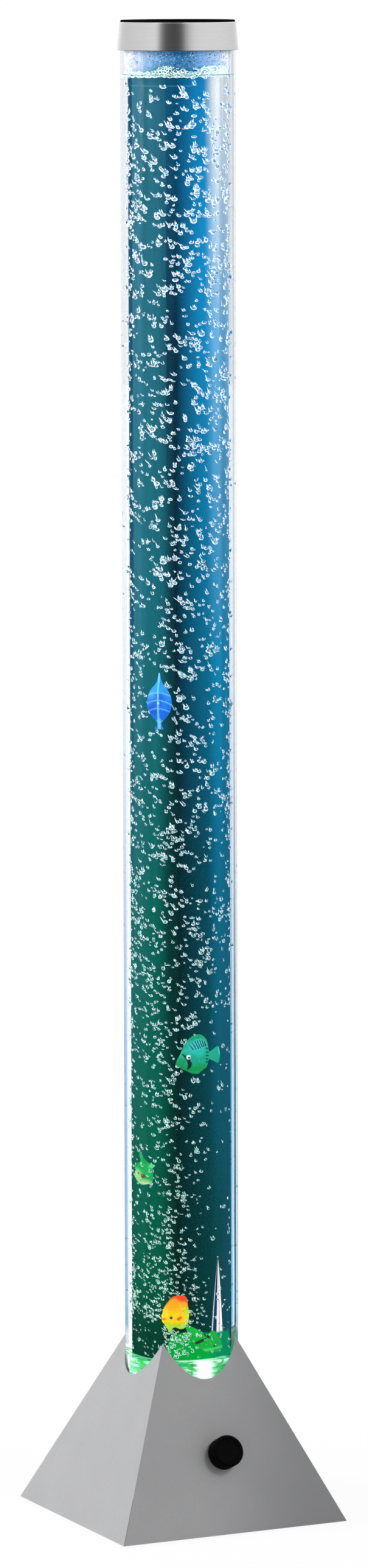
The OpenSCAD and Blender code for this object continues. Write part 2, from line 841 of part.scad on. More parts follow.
// A fan of a tail from x = root to x = tip, its ends given as [low, high]
module tail(root, tip, narrow, wide, bow = 0.8) {
    middle = (wide[0] + wide[1]) / 2;
    fin([[root, narrow[0]], [tip - bow, wide[0]], [tip, middle], [tip - bow, wide[1]], [root, narrow[1]]]);
}

// Both eyes at once: a short round bar through the body
module eyes(x, z, r, thick) {
    translate([x, thick / 2, z]) rotate([90, 0, 0]) cylinder(r = r, h = thick, $fn = 24);
}

// Seen from its back, nose up, with a rib along the spine
module fish_blue() {
    color("dodgerblue") in_water(blue_at, blue_z) rotate([0, 90, 0]) {
        fish_body([
            [-18, -1.5, 1.5, 1.6], [-14, -3.8, 3.8, 3.2], [-10, -7, 7, 4.8], [-5, -9.6, 9.6, 6],
            [0, -10.3, 10.3, 6.2], [5, -9.6, 9.6, 5.8], [10, -6.9, 6.9, 4.2],
            [14, -3.2, 3.2, 2.4], [17, -1.4, 1.4, 1.4]
        ]);
        fin([[-24, -0.3], [-24, 0.3], [-19, 1.1], [-14, 2.6], [-14, -2.6], [-19, -1.1]]);
        tail(15, 21.4, [-1.3, 1.3], [-2.9, 2.9], -0.6);
        translate([-13, -3.6, -0.5]) cube([24, 7.2, 1]);
    }
}

module fish_striped() {
    color([0.1, 0.7, 0.5]) in_water(striped_at, striped_z) {
        fish_body([
            [-16, -7.6, -5.6, 1.6], [-14.3, -8.8, -2.2, 3.4], [-10.4, -11.6, 4, 5.6],
            [-6.2, -12.9, 7.6, 6.8], [0, -13.4, 9, 7], [5.2, -12, 8.2, 5.6], [8.6, -9, 6, 3.6],
            [11.2, -4.3, 2, 1.4]
        ]);
        // Back fin with its rays, belly fin and tail
        fin([
            [-13, 0.2], [-10, 6.9], [-6.2, 12.4], [-2.6, 15.2], [2.1, 16.3], [5.7, 15], [8.6, 11.4],
            [10.1, 4], [0, 4]
        ]);
        for (k = [0:6]) translate([2 * k - 5.4, 0, 9.6]) rotate([0, -22, 0]) translate([-0.4, -0.8, -2.4])
            cube([0.8, 1.6, 4.8]);
        fin([[-10.4, -11], [-4.4, -15.2], [-0.6, -15.8], [2.4, -15.4], [7.8, -11], [9.9, -6], [0, -6]]);
        tail(9.9, 19.7, [-4.6, 2.2], [-7.8, 5.8], 1.8);
        eyes(-6.5, -1.6, 1.5, 6.9);
    }
}

// Seen from its front, tail up
module fish_small() {
    color([0.3, 0.75, 0.35]) in_water(small_at, small_z) rotate([0, 90, 0]) {
        fish_body([
            [-10, -4.5, -0.6, 1.6], [-7, -4, 1.2, 3.2], [-4, -5.7, 4.5, 5], [-1, -8, 6.4, 6.4],
            [3, -9.7, 7.5, 7], [8, -9.4, 7.3, 6], [11, -7.2, 5.4, 4], [12.8, -3.6, 1.2, 1.8]
        ]);
        fin([[-13.6, -5.1], [-13.2, -4.2], [-10.6, -1.2], [-6, 1.8], [-6, -3.9], [-10.8, -6]]);
        // Side fins and belly fin
        fin([[-3.8, 2], [-3.2, 8.7], [-1.6, 9.8], [0.6, 8.1], [6, 8.2], [9.4, 7.5], [9.4, 2]]);
        fin([[-3.8, -2], [-3.4, -9.4], [-1.6, -10.5], [1, -10.5], [6, -11], [9.4, -9.6], [9.4, -2]]);
        fin([[11, -7.8], [11, 5.7], [13.1, 0.6], [13.1, -3]]);
        eyes(1.1, -4, 0.7, 6.8);
    }
}

module fish_orange() {
    color("orange") in_water(orange_at, orange_z) {
        fish_body([
            [-9.9, -5.2, -2.8, 1.4], [-7.7, -8, 4.2, 3.6], [-3.5, -10, 8.4, 4.9], [2.2, -10.8, 11.4, 5.2],
            [6.1, -8.6, 10, 4], [9.2, -4, 4.4, 1.6]
        ]);
        fin([
            [-8.7, 3], [-7.7, 6.6], [-3.7, 10.6], [2.2, 14.8], [6.3, 14.8], [8.3, 12], [9.3, 7],
            [4, 4], [-4, 2]
        ]);
        fin([
            [-9, -4], [-7.7, -8.2], [-5.9, -12.8], [-5, -15.2], [-3.1, -11.2], [0, -11.1],
            [3.7, -11.7], [8.3, -8.6], [4, -4]
        ]);
        tail(7.8, 11.5, [-8.6, 5], [-7, 3.2], 0.5);
        eyes(-2.8, -2.7, 0.9, 5.4);
    }
}

module fish_green() {
    color("green") in_water(green_at, green_z) {
        fish_body([
            [-8.6, 0.4, 7.6, 1.4], [-5, -4.2, 5.8, 3.4], [-1, -7.6, 4.6, 4.6], [3, -9.6, 4, 5],
            [7, -10.8, 5.2, 4.8], [11, -10.8, 3, 3.8], [14, -10.2, -2.2, 2.6], [15.9, -9.2, -7.6, 1.2]
        ]);
        // Tail to the upper left, back fin, belly fin
        fin([
            [-15.3, 12.2], [-15.3, 14.2], [-11, 12], [-8, 9.6], [-5, 7.2], [-3, 2], [-7, -3],
            [-11, 2.6], [-13.5, 7.6]
        ]);
        fin([[3.4, 2], [5.4, 5.8], [7.4, 6.8], [10, 5.2], [13, 0.8], [8, 0]]);
        fin([[-3, -6], [1, -9.8], [3.6, -11], [7.4, -12], [13, -11.6], [15, -10.6], [10, -6]]);
        eyes(6.7, -5, 0.9, 5);
    }
}

// ---------------------------------------------------------------- nodes

base_cover();
rim_frame();
base_plate();
base_screws();
feet();
holder_posts();
holder_screws();
tube_holder();
tube();
bottom_plug();
plug_rings();
air_stone();
air_stem();
stem_gasket();
stem_nut();
air_hose();
check_valve();
led_carrier();
led_board();
led_chips();
pump_body();
pump_lid();
pump_feet();
pump_core();
pump_bobbin();
pump_coil();
pump_arm();
arm_magnet();
arm_pin();
pump_diaphragm();
valve_block();
potentiometer();
pot_nut();
knob_shaft();
knob();
power_jack();
jack_nut();
control_board();
board_parts();
board_standoffs();
jack_lead();
pump_lead();
led_lead();
pot_lead();
cap_gasket();
cap_liner();
cap_ring();
cap_top();
fish_blue();
fish_striped();
fish_small();
fish_orange();
fish_green();
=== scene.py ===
"""The looks of the bubble tube floor lamp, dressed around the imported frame. Metres, +Z up."""

import json
import math
import random

import bpy
from mathutils import Matrix, Vector, noise


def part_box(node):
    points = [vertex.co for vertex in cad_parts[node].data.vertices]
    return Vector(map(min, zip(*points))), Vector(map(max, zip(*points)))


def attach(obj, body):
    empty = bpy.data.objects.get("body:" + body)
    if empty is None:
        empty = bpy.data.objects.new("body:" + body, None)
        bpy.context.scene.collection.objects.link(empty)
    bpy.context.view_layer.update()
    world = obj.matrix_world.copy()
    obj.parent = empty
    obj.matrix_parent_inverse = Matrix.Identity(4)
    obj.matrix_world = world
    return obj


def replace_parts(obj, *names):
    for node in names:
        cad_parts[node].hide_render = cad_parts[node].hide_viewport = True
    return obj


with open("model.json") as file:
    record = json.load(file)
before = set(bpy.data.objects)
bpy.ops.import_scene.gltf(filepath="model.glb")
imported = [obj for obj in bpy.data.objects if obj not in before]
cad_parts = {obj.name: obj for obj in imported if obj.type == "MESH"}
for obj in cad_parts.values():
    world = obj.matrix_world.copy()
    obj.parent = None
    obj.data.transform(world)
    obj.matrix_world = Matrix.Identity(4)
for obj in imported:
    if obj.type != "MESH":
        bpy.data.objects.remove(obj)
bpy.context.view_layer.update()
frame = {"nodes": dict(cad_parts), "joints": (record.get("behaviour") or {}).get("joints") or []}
nodes = frame["nodes"]

MM = 0.001
TAU = 2 * math.pi

# ---------------------------------------------------------------- sizes, from the frame

TUBE_LOW, TUBE_HIGH = (corner.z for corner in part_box("tube"))
TUBE_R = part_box("tube")[1].x
WALL = 3 * MM
BORE_R = TUBE_R - WALL
FLOOR_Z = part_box("bottom_plug")[1].z        # the plug's upper face, where the water starts
CAP_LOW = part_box("cap_ring")[0].z
WATER_TOP = CAP_LOW - 20 * MM
CORE_R = BORE_R - 12.9 * MM                 # the lit heart of the water
CORE_TOP = WATER_TOP - 0.4 * MM
BUBBLES_FROM, BUBBLES_TO = CORE_R + 0.3 * MM, BORE_R - 0.4 * MM

# The camera, fitted to the base's corners and the tube's edges in the photo
CAMERA_AZ = math.radians(-25.771)
CAMERA_FAR = 5.534
CAMERA_HIGH = 1.284
CAMERA_YAW = math.radians(-0.0335)
CAMERA_PITCH = math.radians(7.063)
CAMERA_ROLL = math.radians(-0.172)
LENS = 158.76
SENSOR = 36

# The studio: its plain light, and how bright mirrors see its walls and its floor
AMBIENT = 0.18
WALLS = 1.05
MIRROR_DIM = 0.05
LAMP_AIM = Vector((0, 0, 0.4))

# Where mirrors turn bright behind the lamp, as the level cosine from the photo's side
BEHIND = (-0.72, -0.9)

# How far round the column's edge the camera sees, through the tube and the water
EDGE_BEND = math.radians(20)

ACRYLIC_IOR = 1.49
WATER_IOR = 1.33
BLACK = (0, 0, 0)

# Level directions from the axis: to the photo's side, and across it to the photo's right
FRONT = Vector((math.sin(CAMERA_AZ), -math.cos(CAMERA_AZ), 0))
RIGHT = Vector((math.cos(CAMERA_AZ), math.sin(CAMERA_AZ), 0))


def rgb(red, green, blue):
    """Linear colour of a screen colour given as 0 to 255."""
    parts = [c / 255 for c in (red, green, blue)]
    return tuple(c / 12.92 if c < 0.04045 else ((c + 0.055) / 1.055) ** 2.4 for c in parts)


def polar(r, angle, z=0.0):
    """A place by its distance from the axis, its direction and its height."""
    return Vector((r * math.cos(angle), r * math.sin(angle), z))


def turned_to(degrees):
    """A level direction, turned from the photo's side towards its right."""
    return Matrix.Rotation(math.radians(degrees), 3, "Z") @ FRONT


# ---------------------------------------------------------------- material nodes


class Nodes:
    """A node tree, with short calls that add nodes to it."""

    def __init__(self, tree):
        self.tree = tree

    def plug(self, socket, value):
        if isinstance(value, bpy.types.NodeSocket):
            self.tree.links.new(value, socket)
        elif isinstance(value, tuple) and len(value) == 3 and len(socket.default_value) == 4:
            socket.default_value = (*value, 1)
        else:
            socket.default_value = value

    def node(self, kind, inputs=(), **settings):
        node = self.tree.nodes.new("ShaderNode" + kind)
        for name, value in settings.items():
            setattr(node, name, value)
        for name, value in dict(inputs).items():
            self.plug(node.inputs[name], value)
        return node

    def add(self, kind, inputs=(), **settings):
        """A new node's outputs."""
        return self.node(kind, inputs, **settings).outputs

    def math(self, operation, a, b=0.0, clamp=False):
        return self.add("Math", {0: a, 1: b}, operation=operation, use_clamp=clamp)[0]

    def times(self, a, b):
        return self.math("MULTIPLY", a, b)

    def gap(self, a, b):
        """How far apart two numbers are."""
        return self.math("ABSOLUTE", self.math("SUBTRACT", a, b))

    def vector(self, operation, a, b=(0, 0, 0)):
        outputs = self.add("VectorMath", {0: a, 1: b}, operation=operation)
        return outputs["Value" if operation in ("DOT_PRODUCT", "LENGTH") else "Vector"]

    def span(self, value, low, high, to_low=0.0, to_high=1.0, smooth=False):
        """value's share of the way from low to high, as a number from to_low to to_high."""
        inputs = {"Value": value, "From Min": low, "From Max": high, "To Min": to_low, "To Max": to_high}
        return self.add("MapRange", inputs, interpolation_type="SMOOTHSTEP" if smooth else "LINEAR")["Result"]


class Look(Nodes):
    """A Principled material."""

    def __init__(self, name, **sockets):
        self.material = bpy.data.materials.new(name)
        self.material.use_nodes = True
        super().__init__(self.material.node_tree)
        self.shader = self.tree.nodes["Principled BSDF"]
        for socket, value in sockets.items():
            self.set(socket.replace("_", " ").title().replace("Ior", "IOR"), value)

    def set(self, name, value):
        self.plug(self.shader.inputs[name], value)
        return self

    def place(self, stretch=(1, 1, 1)):
        """Coordinates in the row frame, scaled."""
        return self.add("Mapping", {"Vector": self.add("TexCoord")["Object"], "Scale": stretch})["Vector"]

    def axes(self):
        return self.add("SeparateXYZ", {"Vector": self.place()})

    def along(self, direction):
        """Distance from the axis along a level direction."""
        return self.vector("DOT_PRODUCT", self.add("TexCoord")["Object"], tuple(direction))

    def noise(self, scale, detail=4.0, stretch=(1, 1, 1), distortion=0.0):
        return self.add("TexNoise", {
            "Vector": self.place(stretch), "Scale": scale, "Detail": detail,
            "Roughness": 0.55, "Distortion": distortion,
        })["Fac"]

    def ramp(self, value, stops):
        """Colours by value, from (place, colour) pairs."""
        node = self.node("ValToRGB", {"Fac": value})
        elements = node.color_ramp.elements
        while len(elements) < len(stops):
            elements.new(0.5)
        for element, (place, colour) in zip(elements, stops):
            element.position = place
            element.color = (*colour, 1)
        return node.outputs["Color"]

    def hues(self, value, stops):
        """Colours by value, from (place, red, green, blue) stops, as rgb() takes them."""
        return self.ramp(value, [(place, rgb(*hue)) for place, *hue in stops])

    def mix(self, share, a, b):
        return self.add("Mix", {"Factor": share, 6: a, 7: b}, data_type="RGBA")[2]

    def bump(self, height, strength, deep=0.2 * MM):
        inputs = {"Height": height, "Strength": strength, "Distance": deep}
        return self.set("Normal", self.add("Bump", inputs)["Normal"])

    def lit(self, tint, strength, dull=0.0):
        """Gives the surface a tint that also shines. dull darkens what other light shows of it."""
        self.set("Base Color", self.mix(dull, tint, BLACK) if dull else tint)
        self.set("Emission Color", tint).set("Emission Strength", strength)
        return self.material


def grained(name, colour, rough, scale=600, stretch=(1, 1, 1), tone=0.1, relief=0.15, **sockets):
    """A finish whose colour, roughness and height vary with one fine noise and one coarse one."""
    look = Look(name, **sockets)
    fine = look.noise(scale, 6, stretch)
    broad = look.noise(scale / 15, 3, stretch)
    dark = tuple(c * (1 - tone) for c in colour)
    light = tuple(min(1, c * (1 + tone)) for c in colour)
    tint = look.ramp(fine, ((0.3, dark), (0.7, light)))
    look.set("Base Color", look.mix(look.span(broad, 0.3, 0.7, 0, 0.35), tint, dark))
    look.set("Roughness", look.span(look.math("ADD", fine, broad), 0.6, 1.4, rough - 0.06, rough + 0.06))
    look.bump(fine, relief)
    return look.material


# ---------------------------------------------------------------- finishes of the CAD nodes


def cover_metal():
    """Silver sheet with a fine satin grain and specks, with painted shade that darkens it towards the side facing
    RIGHT.
    """
    look = Look("cover_metal", metallic=0.12, coat_weight=0.05, coat_roughness=0.35)
    fine = look.noise(2600, 5)
    speck = look.noise(5200, 2)
    broad = look.noise(24, 3)
    tint = look.hues(fine, ((0.32, 184, 184, 186), (0.68, 206, 206, 207)))
    tint = look.mix(look.span(speck, 0.62, 0.72, 0, 0.25), tint, rgb(140, 140, 143))
    tint = look.mix(look.span(broad, 0.35, 0.7, 0, 0.18), tint, rgb(172, 172, 175))
    # Painted shade: darker towards the side that faces RIGHT
    tint = look.mix(look.span(look.along(RIGHT), 10 * MM, 110 * MM, 0, 0.5, smooth=True), tint, rgb(126, 126, 129))
    look.set("Base Color", tint)
    look.set("Roughness", look.span(fine, 0.3, 0.7, 0.4, 0.52))
    look.bump(look.math("ADD", fine, look.times(speck, 0.5)), 0.25, 0.05 * MM)
    return look.material


def turned(name, pale, dark, painted_reflections):
    """Satin metal turned on a lathe: fine rings, and soft dark bands of painted reflection where it faces given
    directions.
    """
    look = Look(name, metallic=0.8)
    rings = look.noise(900, 3, (0.03, 0.03, 1))
    fine = look.noise(4000, 3)
    tint = look.ramp(rings, ((0.3, tuple(c * 0.94 for c in pale)), (0.7, pale)))
    radius = look.vector("LENGTH", look.vector("MULTIPLY", look.place(), (1, 1, 0)))
    # Each dark stripe is a painted reflection
    for direction, width, deep in painted_reflections:
        share = look.math("DIVIDE", look.along(direction), radius)
        band = look.span(share, math.cos(width), 1, 0, deep, smooth=True)
        tint = look.mix(band, tint, dark)
    look.set("Base Color", tint)
    look.set("Roughness", look.span(fine, 0.3, 0.7, 0.26, 0.35))
    look.bump(rings, 0.12, 0.03 * MM)
    return look.material


def clear(name, tint, ior, rough=0.0):
    """Clear glass-like stuff with faint clouding in its tint."""
    look = Look(name, transmission_weight=1.0, ior=ior, roughness=rough)
    cloud = look.noise(90, 4, (1, 1, 0.2))
    look.set("Base Color", look.ramp(cloud, ((0.3, tuple(c * 0.985 for c in tint)), (0.7, tint))))
    return look.material


def tube_acrylic():
    """Clear acrylic, its tint painted with the reflections and refraction that a thick wall shows edge-on: pale
    blue, grey and dark bands, not the same on the left and the right.
    """
    look = Look("clear_acrylic", transmission_weight=1.0, ior=ACRYLIC_IOR, roughness=0.0, specular_tint=BLACK)
    facing = look.add("LayerWeight", {"Blend": 0.5})["Facing"]
    cloud = look.span(look.noise(90, 4, (1, 1, 0.2)), 0.3, 0.7, -0.006, 0.006)
    white = (0.985, 0.993, 1.0)
    place = look.math("ADD", facing, cloud)
    # Painted reflections and refraction near the wall's edges, one set for each side
    left = look.ramp(place, (
        (0.0, white), (0.67, white), (0.71, rgb(104, 172, 238)), (0.88, rgb(90, 160, 236)),
        (0.96, rgb(130, 160, 226)), (1.0, white),
    ))
    right = look.ramp(place, (
        (0.0, white), (0.5, white), (0.52, rgb(20, 104, 150)), (0.57, rgb(30, 110, 156)),
        (0.59, rgb(170, 208, 240)), (0.65, rgb(176, 198, 240)), (0.665, rgb(4, 40, 60)), (0.75, rgb(2, 60, 64)),
        (0.77, white), (0.82, white), (0.85, rgb(150, 190, 206)), (0.95, rgb(150, 190, 206)), (1.0, white),
    ))
    bands = look.mix(look.span(look.along(RIGHT), -1 * MM, 1 * MM), left, right)
    z = look.axes()[2]
    high = look.span(z, 0.35, 0.85, 0, look.span(look.along(RIGHT), 0, 1 * MM, 0.85, 0.5), smooth=True)
    weaker = look.math("MAXIMUM", high, look.span(z, FLOOR_Z + 26 * MM, FLOOR_Z + 20 * MM))
    look.set("Base Color", look.mix(weaker, bands, white))
    return look.material


def plug_acrylic():
    """Ribbed clear plug, lit green from below, with a white glare over the light at each face's middle."""
    look = Look("plug_acrylic", roughness=0.16, ior=1.49, transmission_weight=0.15)
    x, y, z = look.axes()
    rings = look.noise(420, 4, (0.06, 0.06, 1), distortion=0.6)
    tint = look.hues(rings, (
        (0.30, 0, 96, 62), (0.44, 18, 160, 96), (0.54, 120, 214, 172), (0.64, 236, 250, 244),
    ))
    patch = look.noise(75, 5, (1, 1, 1.3), distortion=1.6)
    tint = look.mix(look.span(patch, 0.5, 0.56), tint, rgb(0, 158, 52))
    # Painted light: paler low down, nearest the light below
    low = look.span(z, FLOOR_Z - 18 * MM, FLOOR_Z - 2 * MM, 0.35, 0)
    tint = look.mix(low, tint, rgb(150, 226, 190))
    glare = look.noise(150, 3, (1, 1, 1.6))
    side = look.math("MINIMUM", look.math("ABSOLUTE", x), look.math("ABSOLUTE", y))
    near = look.span(look.math("ADD", side, look.times(glare, 8 * MM)), 7 * MM, 15 * MM, 1, 0, smooth=True)
    near = look.times(near, look.span(x, -0.75 * BORE_R, -0.45 * BORE_R))
    tint = look.mix(near, tint, rgb(246, 255, 248))
    look.bump(rings, 0.3)
    return look.lit(tint, 0.45)


def stone():
    """Pale sintered grains, faintly lit green."""
    look = Look("stone", roughness=0.9)
    grains = look.add("TexVoronoi", {"Vector": look.place(), "Scale": 900.0})["Distance"]
    look.set("Base Color", look.mix(look.span(grains, 0.1, 0.6), rgb(226, 222, 208), rgb(150, 146, 134)))
    look.set("Emission Color", rgb(80, 200, 130)).set("Emission Strength", 0.12)
    look.bump(grains, 0.8, 0.3 * MM)
    return look.material


def board(name, mask, line):
    """A circuit board: solder mask over fine tracks."""
    look = Look(name, coat_weight=0.4, coat_roughness=0.15)
    tracks = look.add("TexBrick", {
        "Vector": look.place(), "Scale": 260.0, "Color1": mask, "Color2": tuple(c * 0.9 for c in mask),
        "Mortar": line, "Mortar Size": 0.03, "Brick Width": 1.4, "Row Height": 0.5,
    }, offset=0.35)
    look.set("Base Color", tracks["Color"])
    look.set("Roughness", look.span(look.noise(700, 3), 0.3, 0.7, 0.3, 0.45))
    look.bump(tracks["Fac"], 0.3, 0.05 * MM)
    return look.material


def laminated():
    """Stacked iron sheets."""
    look = Look("core_iron", metallic=0.7)
    sheets = look.math("FRACT", look.times(look.axes()[2], 2000))
    rust = look.noise(300, 5)
    tint = look.hues(sheets, ((0.0, 58, 58, 60), (0.2, 128, 128, 130), (1.0, 112, 112, 115)))
    look.set("Base Color", look.mix(look.span(rust, 0.55, 0.75, 0, 0.5), tint, rgb(96, 70, 54)))
    look.set("Roughness", look.span(rust, 0.3, 0.7, 0.35, 0.6))
    look.bump(sheets, 0.4, 0.1 * MM)
    return look.material


def winding():
    """Enamelled wire, wound in fine turns, with painted shade in the grooves between them."""
    look = Look("copper", metallic=0.85, coat_weight=0.6, coat_roughness=0.1)
    wires = look.math("PINGPONG", look.times(look.axes()[1], 4000), 1.0)
    # Painted shade: each turn darker towards the grooves beside it
    look.set("Base Color", look.hues(wires, ((0.0, 92, 40, 18), (0.7, 214, 128, 74))))
    look.set("Roughness", look.span(look.noise(500, 3), 0.3, 0.7, 0.2, 0.35))
    look.bump(wires, 0.6, 0.12 * MM)
    return look.material


def lens():
    """Yellow phosphor under a clear dome, faintly lit."""
    look = Look("led_yellow", roughness=0.15, coat_weight=0.5)
    cloud = look.noise(1500, 3)
    look.set("Base Color", look.hues(cloud, ((0.3, 240, 226, 150), (0.7, 255, 248, 206))))
    look.set("Emission Color", rgb(200, 255, 214)).set("Emission Strength", 0.8)
    return look.material


# The cap's painted reflections, as dark bands: where each lies, half its width in radians and how dark it is
CAP_REFLECTIONS = (
    (turned_to(-6), 0.26, 0.66), (turned_to(-50), 0.5, 0.2),
    (turned_to(118), 0.4, 0.35), (turned_to(-126), 0.42, 0.6),
)

FINISHES = {
    "cover_metal": cover_metal(),
    "cap_metal": turned("cap_metal", rgb(238, 238, 238), rgb(62, 61, 60), CAP_REFLECTIONS),
    "clear_acrylic": tube_acrylic(),
    "plug_acrylic": plug_acrylic(),
    "hose_clear": clear("hose_clear", (0.86, 0.92, 0.94), 1.42, 0.12),
    "stone": stone(),
    "copper": winding(),
    "core_iron": laminated(),
    "board_white": board("board_white", rgb(236, 238, 236), rgb(206, 200, 170)),
    "board_green": board("board_green", rgb(16, 92, 48), rgb(58, 140, 84)),
    "led_yellow": lens(),
}
# The plain finishes: a screen colour, a roughness, and what else grained() takes
GRAINED = {
    "cap_black": (16, 16, 16, 0.8, dict(scale=1800, relief=0.3, specular_ior_level=0.0)),
    "knob_black": (7, 7, 7, 0.5, dict(scale=2200, relief=0.35, tone=0.2, specular_ior_level=0.04)),
    "black_plastic": (40, 40, 42, 0.5, dict(scale=900, relief=0.3)),
    "white_plastic": (228, 228, 224, 0.42, dict(scale=700, tone=0.04)),
    "rubber": (34, 34, 35, 0.8, dict(scale=800, relief=0.4, tone=0.18)),
    "zinc_steel": (186, 190, 196, 0.38, dict(scale=260, tone=0.14, metallic=0.9)),
    "base_steel": (58, 58, 61, 0.55, dict(scale=1500, relief=0.5, metallic=0.2)),
    "screw_steel": (205, 205, 207, 0.28, dict(scale=900, stretch=(1, 1, 6), metallic=0.95)),
    "aluminium": (214, 215, 218, 0.32, dict(scale=900, stretch=(0.1, 0.1, 3), metallic=0.95)),
    "brass": (214, 176, 92, 0.3, dict(scale=900, stretch=(0.1, 0.1, 3), metallic=0.95)),
    "magnet": (74, 74, 78, 0.45, dict(scale=1200, relief=0.3, metallic=0.5)),
    "board_parts": (64, 66, 74, 0.45, dict(scale=700, relief=0.2)),
    "lead_black": (30, 30, 31, 0.4, dict(scale=900)),
    "lead_red": (186, 30, 28, 0.4, dict(scale=900)),
    "lead_yellow": (226, 184, 40, 0.4, dict(scale=900)),
    "lead_blue": (44, 92, 186, 0.4, dict(scale=900)),
}
for finish, (red, green, blue, rough, settings) in GRAINED.items():
    FINISHES[finish] = grained(finish, rgb(red, green, blue), rough, **settings)
for cad in nodes.values():
    for holder in cad.material_slots:
        if holder.material and holder.material.name in FINISHES:
            holder.material = FINISHES[holder.material.name]

# ---------------------------------------------------------------- mesh helpers


def piece(name, points, faces, materials, body="lamp", kinds=None, colours=None):
    """A mesh that rides on a body. kinds picks a material for each face, colours paints its points."""
    mesh = bpy.data.meshes.new(name)
    mesh.from_pydata([tuple(p) for p in points], [], faces)
    mesh.polygons.foreach_set("use_smooth", [True] * len(faces))
    for material in materials:
        mesh.materials.append(material)
    if kinds:
        mesh.polygons.foreach_set("material_index", kinds)
    if colours:
        paint = mesh.color_attributes.new("paint", "FLOAT_COLOR", "POINT")
        paint.data.foreach_set("color", [c for colour in colours for c in (*colour, 1)])
    mesh.update()
    obj = bpy.data.objects.new(name, mesh)
    bpy.context.scene.collection.objects.link(obj)
    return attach(obj, body)


def lathe(profile, sides=128, close=False):
    """Points and faces of a profile of (radius, height) pairs turned about the axis."""
    points, faces, rows = [], [], []
    for radius, z in profile:
        if radius < 1e-9:
            rows.append([len(points)] * sides)
            points.append(Vector((0, 0, z)))
        else:
            rows.append(range(len(points), len(points) + sides))
            points += [polar(radius, a, z) for a in turns(sides)]
    pairs = list(zip(rows, rows[1:])) + ([(rows[-1], rows[0])] if close else [])
    for low, high in pairs:
        for i in range(sides):
            j = (i + 1) % sides
            faces.append(tuple(dict.fromkeys((low[i], low[j], high[j], high[i]))))
    return points, faces


def turns(count):
    return [TAU * i / count for i in range(count)]


def curve(stops, x):
    """A smooth curve through (x, y) pairs, flat at its peaks."""
    if x <= stops[0][0]:
        return stops[0][1]
    for (x0, y0), (x1, y1) in zip(stops, stops[1:]):
        if x <= x1:
            t = (x - x0) / (x1 - x0)
            before = next((s for s in reversed(stops) if s[0] < x0), (2 * x0 - x1, 2 * y0 - y1))
            after = next((s for s in stops if s[0] > x1), (2 * x1 - x0, 2 * y1 - y0))
            m0 = (y1 - before[1]) / (x1 - before[0]) * (x1 - x0)
            m1 = (after[1] - y0) / (after[0] - x0) * (x1 - x0)
            return (
                (2 * t**3 - 3 * t**2 + 1) * y0 + (t**3 - 2 * t**2 + t) * m0
                + (3 * t**2 - 2 * t**3) * y1 + (t**3 - t**2) * m1
            )
    return stops[-1][1]


# ---------------------------------------------------------------- tube and water


def tube():
    """The tube's wall. Where water wets its bore, the surface bends light as acrylic against water does."""
    edge = 0.4 * MM
    wet = WATER_TOP + 1 * MM
    profile = [
        (TUBE_R, TUBE_LOW + edge), (TUBE_R, TUBE_HIGH - edge), (TUBE_R - edge, TUBE_HIGH),
        (BORE_R + edge, TUBE_HIGH), (BORE_R, TUBE_HIGH - edge), (BORE_R, wet), (BORE_R, FLOOR_Z),
        (BORE_R, TUBE_LOW + edge), (BORE_R + edge, TUBE_LOW), (TUBE_R - edge, TUBE_LOW),
    ]
    sides = 192
    points, faces = lathe(profile, sides, close=True)
    wetted = profile.index((BORE_R, wet))
    kinds = [int(i // sides == wetted) for i in range(len(faces))]
    looks = [FINISHES["clear_acrylic"], clear("wet_acrylic", (0.99, 0.996, 1.0), ACRYLIC_IOR / WATER_IOR)]
    obj = piece("tube_wall", points, faces, looks, kinds=kinds)
    sharpen(obj)
    obj.visible_shadow = False
    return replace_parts(obj, "tube")


def sharpen(obj):
    """Keeps the corners of a turned piece crisp."""
    obj.data.set_sharp_from_angle(angle=math.radians(30))


def water():
    """The water: its surface bends light, and its side and floor, which the wall and the plug wet, don't."""
    gap = 0.12 * MM
    r = BORE_R - gap
    profile = [
        (0, FLOOR_Z + gap), (r - gap, FLOOR_Z + gap), (r, FLOOR_Z + 2 * gap),
        (r, WATER_TOP + 1.2 * MM), (r - 0.8 * MM, WATER_TOP + 0.3 * MM), (r - 3 * MM, WATER_TOP), (0, WATER_TOP),
    ]
    sides = 192
    points, faces = lathe(profile, sides)
    kinds = [int(i // sides < 3) for i in range(len(faces))]
    looks = [clear("water", (0.97, 0.99, 1.0), WATER_IOR), clear("water_side", (0.99, 0.996, 1.0), 1.0)]
    obj = piece("water", points, faces, looks, kinds=kinds)
    sharpen(obj)
    obj.visible_shadow = False
    return obj


# The lit water's upright strands, each with its colours from the plug up to the water's surface
STRANDS = {
    "left": (
        (0.02, 3, 62, 44), (0.06, 2, 90, 64), (0.35, 7, 94, 84), (0.6, 24, 106, 120), (1.0, 42, 108, 128),
    ),
    "heart": ((0.05, 3, 36, 29), (0.35, 4, 32, 33), (0.8, 6, 38, 58), (1.0, 4, 72, 108)),
    "right": (
        (0.05, 4, 52, 46), (0.4, 5, 68, 82), (0.65, 5, 112, 153), (0.85, 14, 138, 196), (1.0, 14, 130, 190),
    ),
    "glare": (
        (0.1, 9, 66, 66), (0.4, 6, 104, 138), (0.55, 8, 128, 172), (0.8, 110, 182, 228), (1.0, 246, 250, 252),
    ),
}
GLOW_GREEN = rgb(2, 166, 60)
SLIVER_LOW, SLIVER_HIGH = FLOOR_Z + 20 * MM, FLOOR_Z + 82 * MM


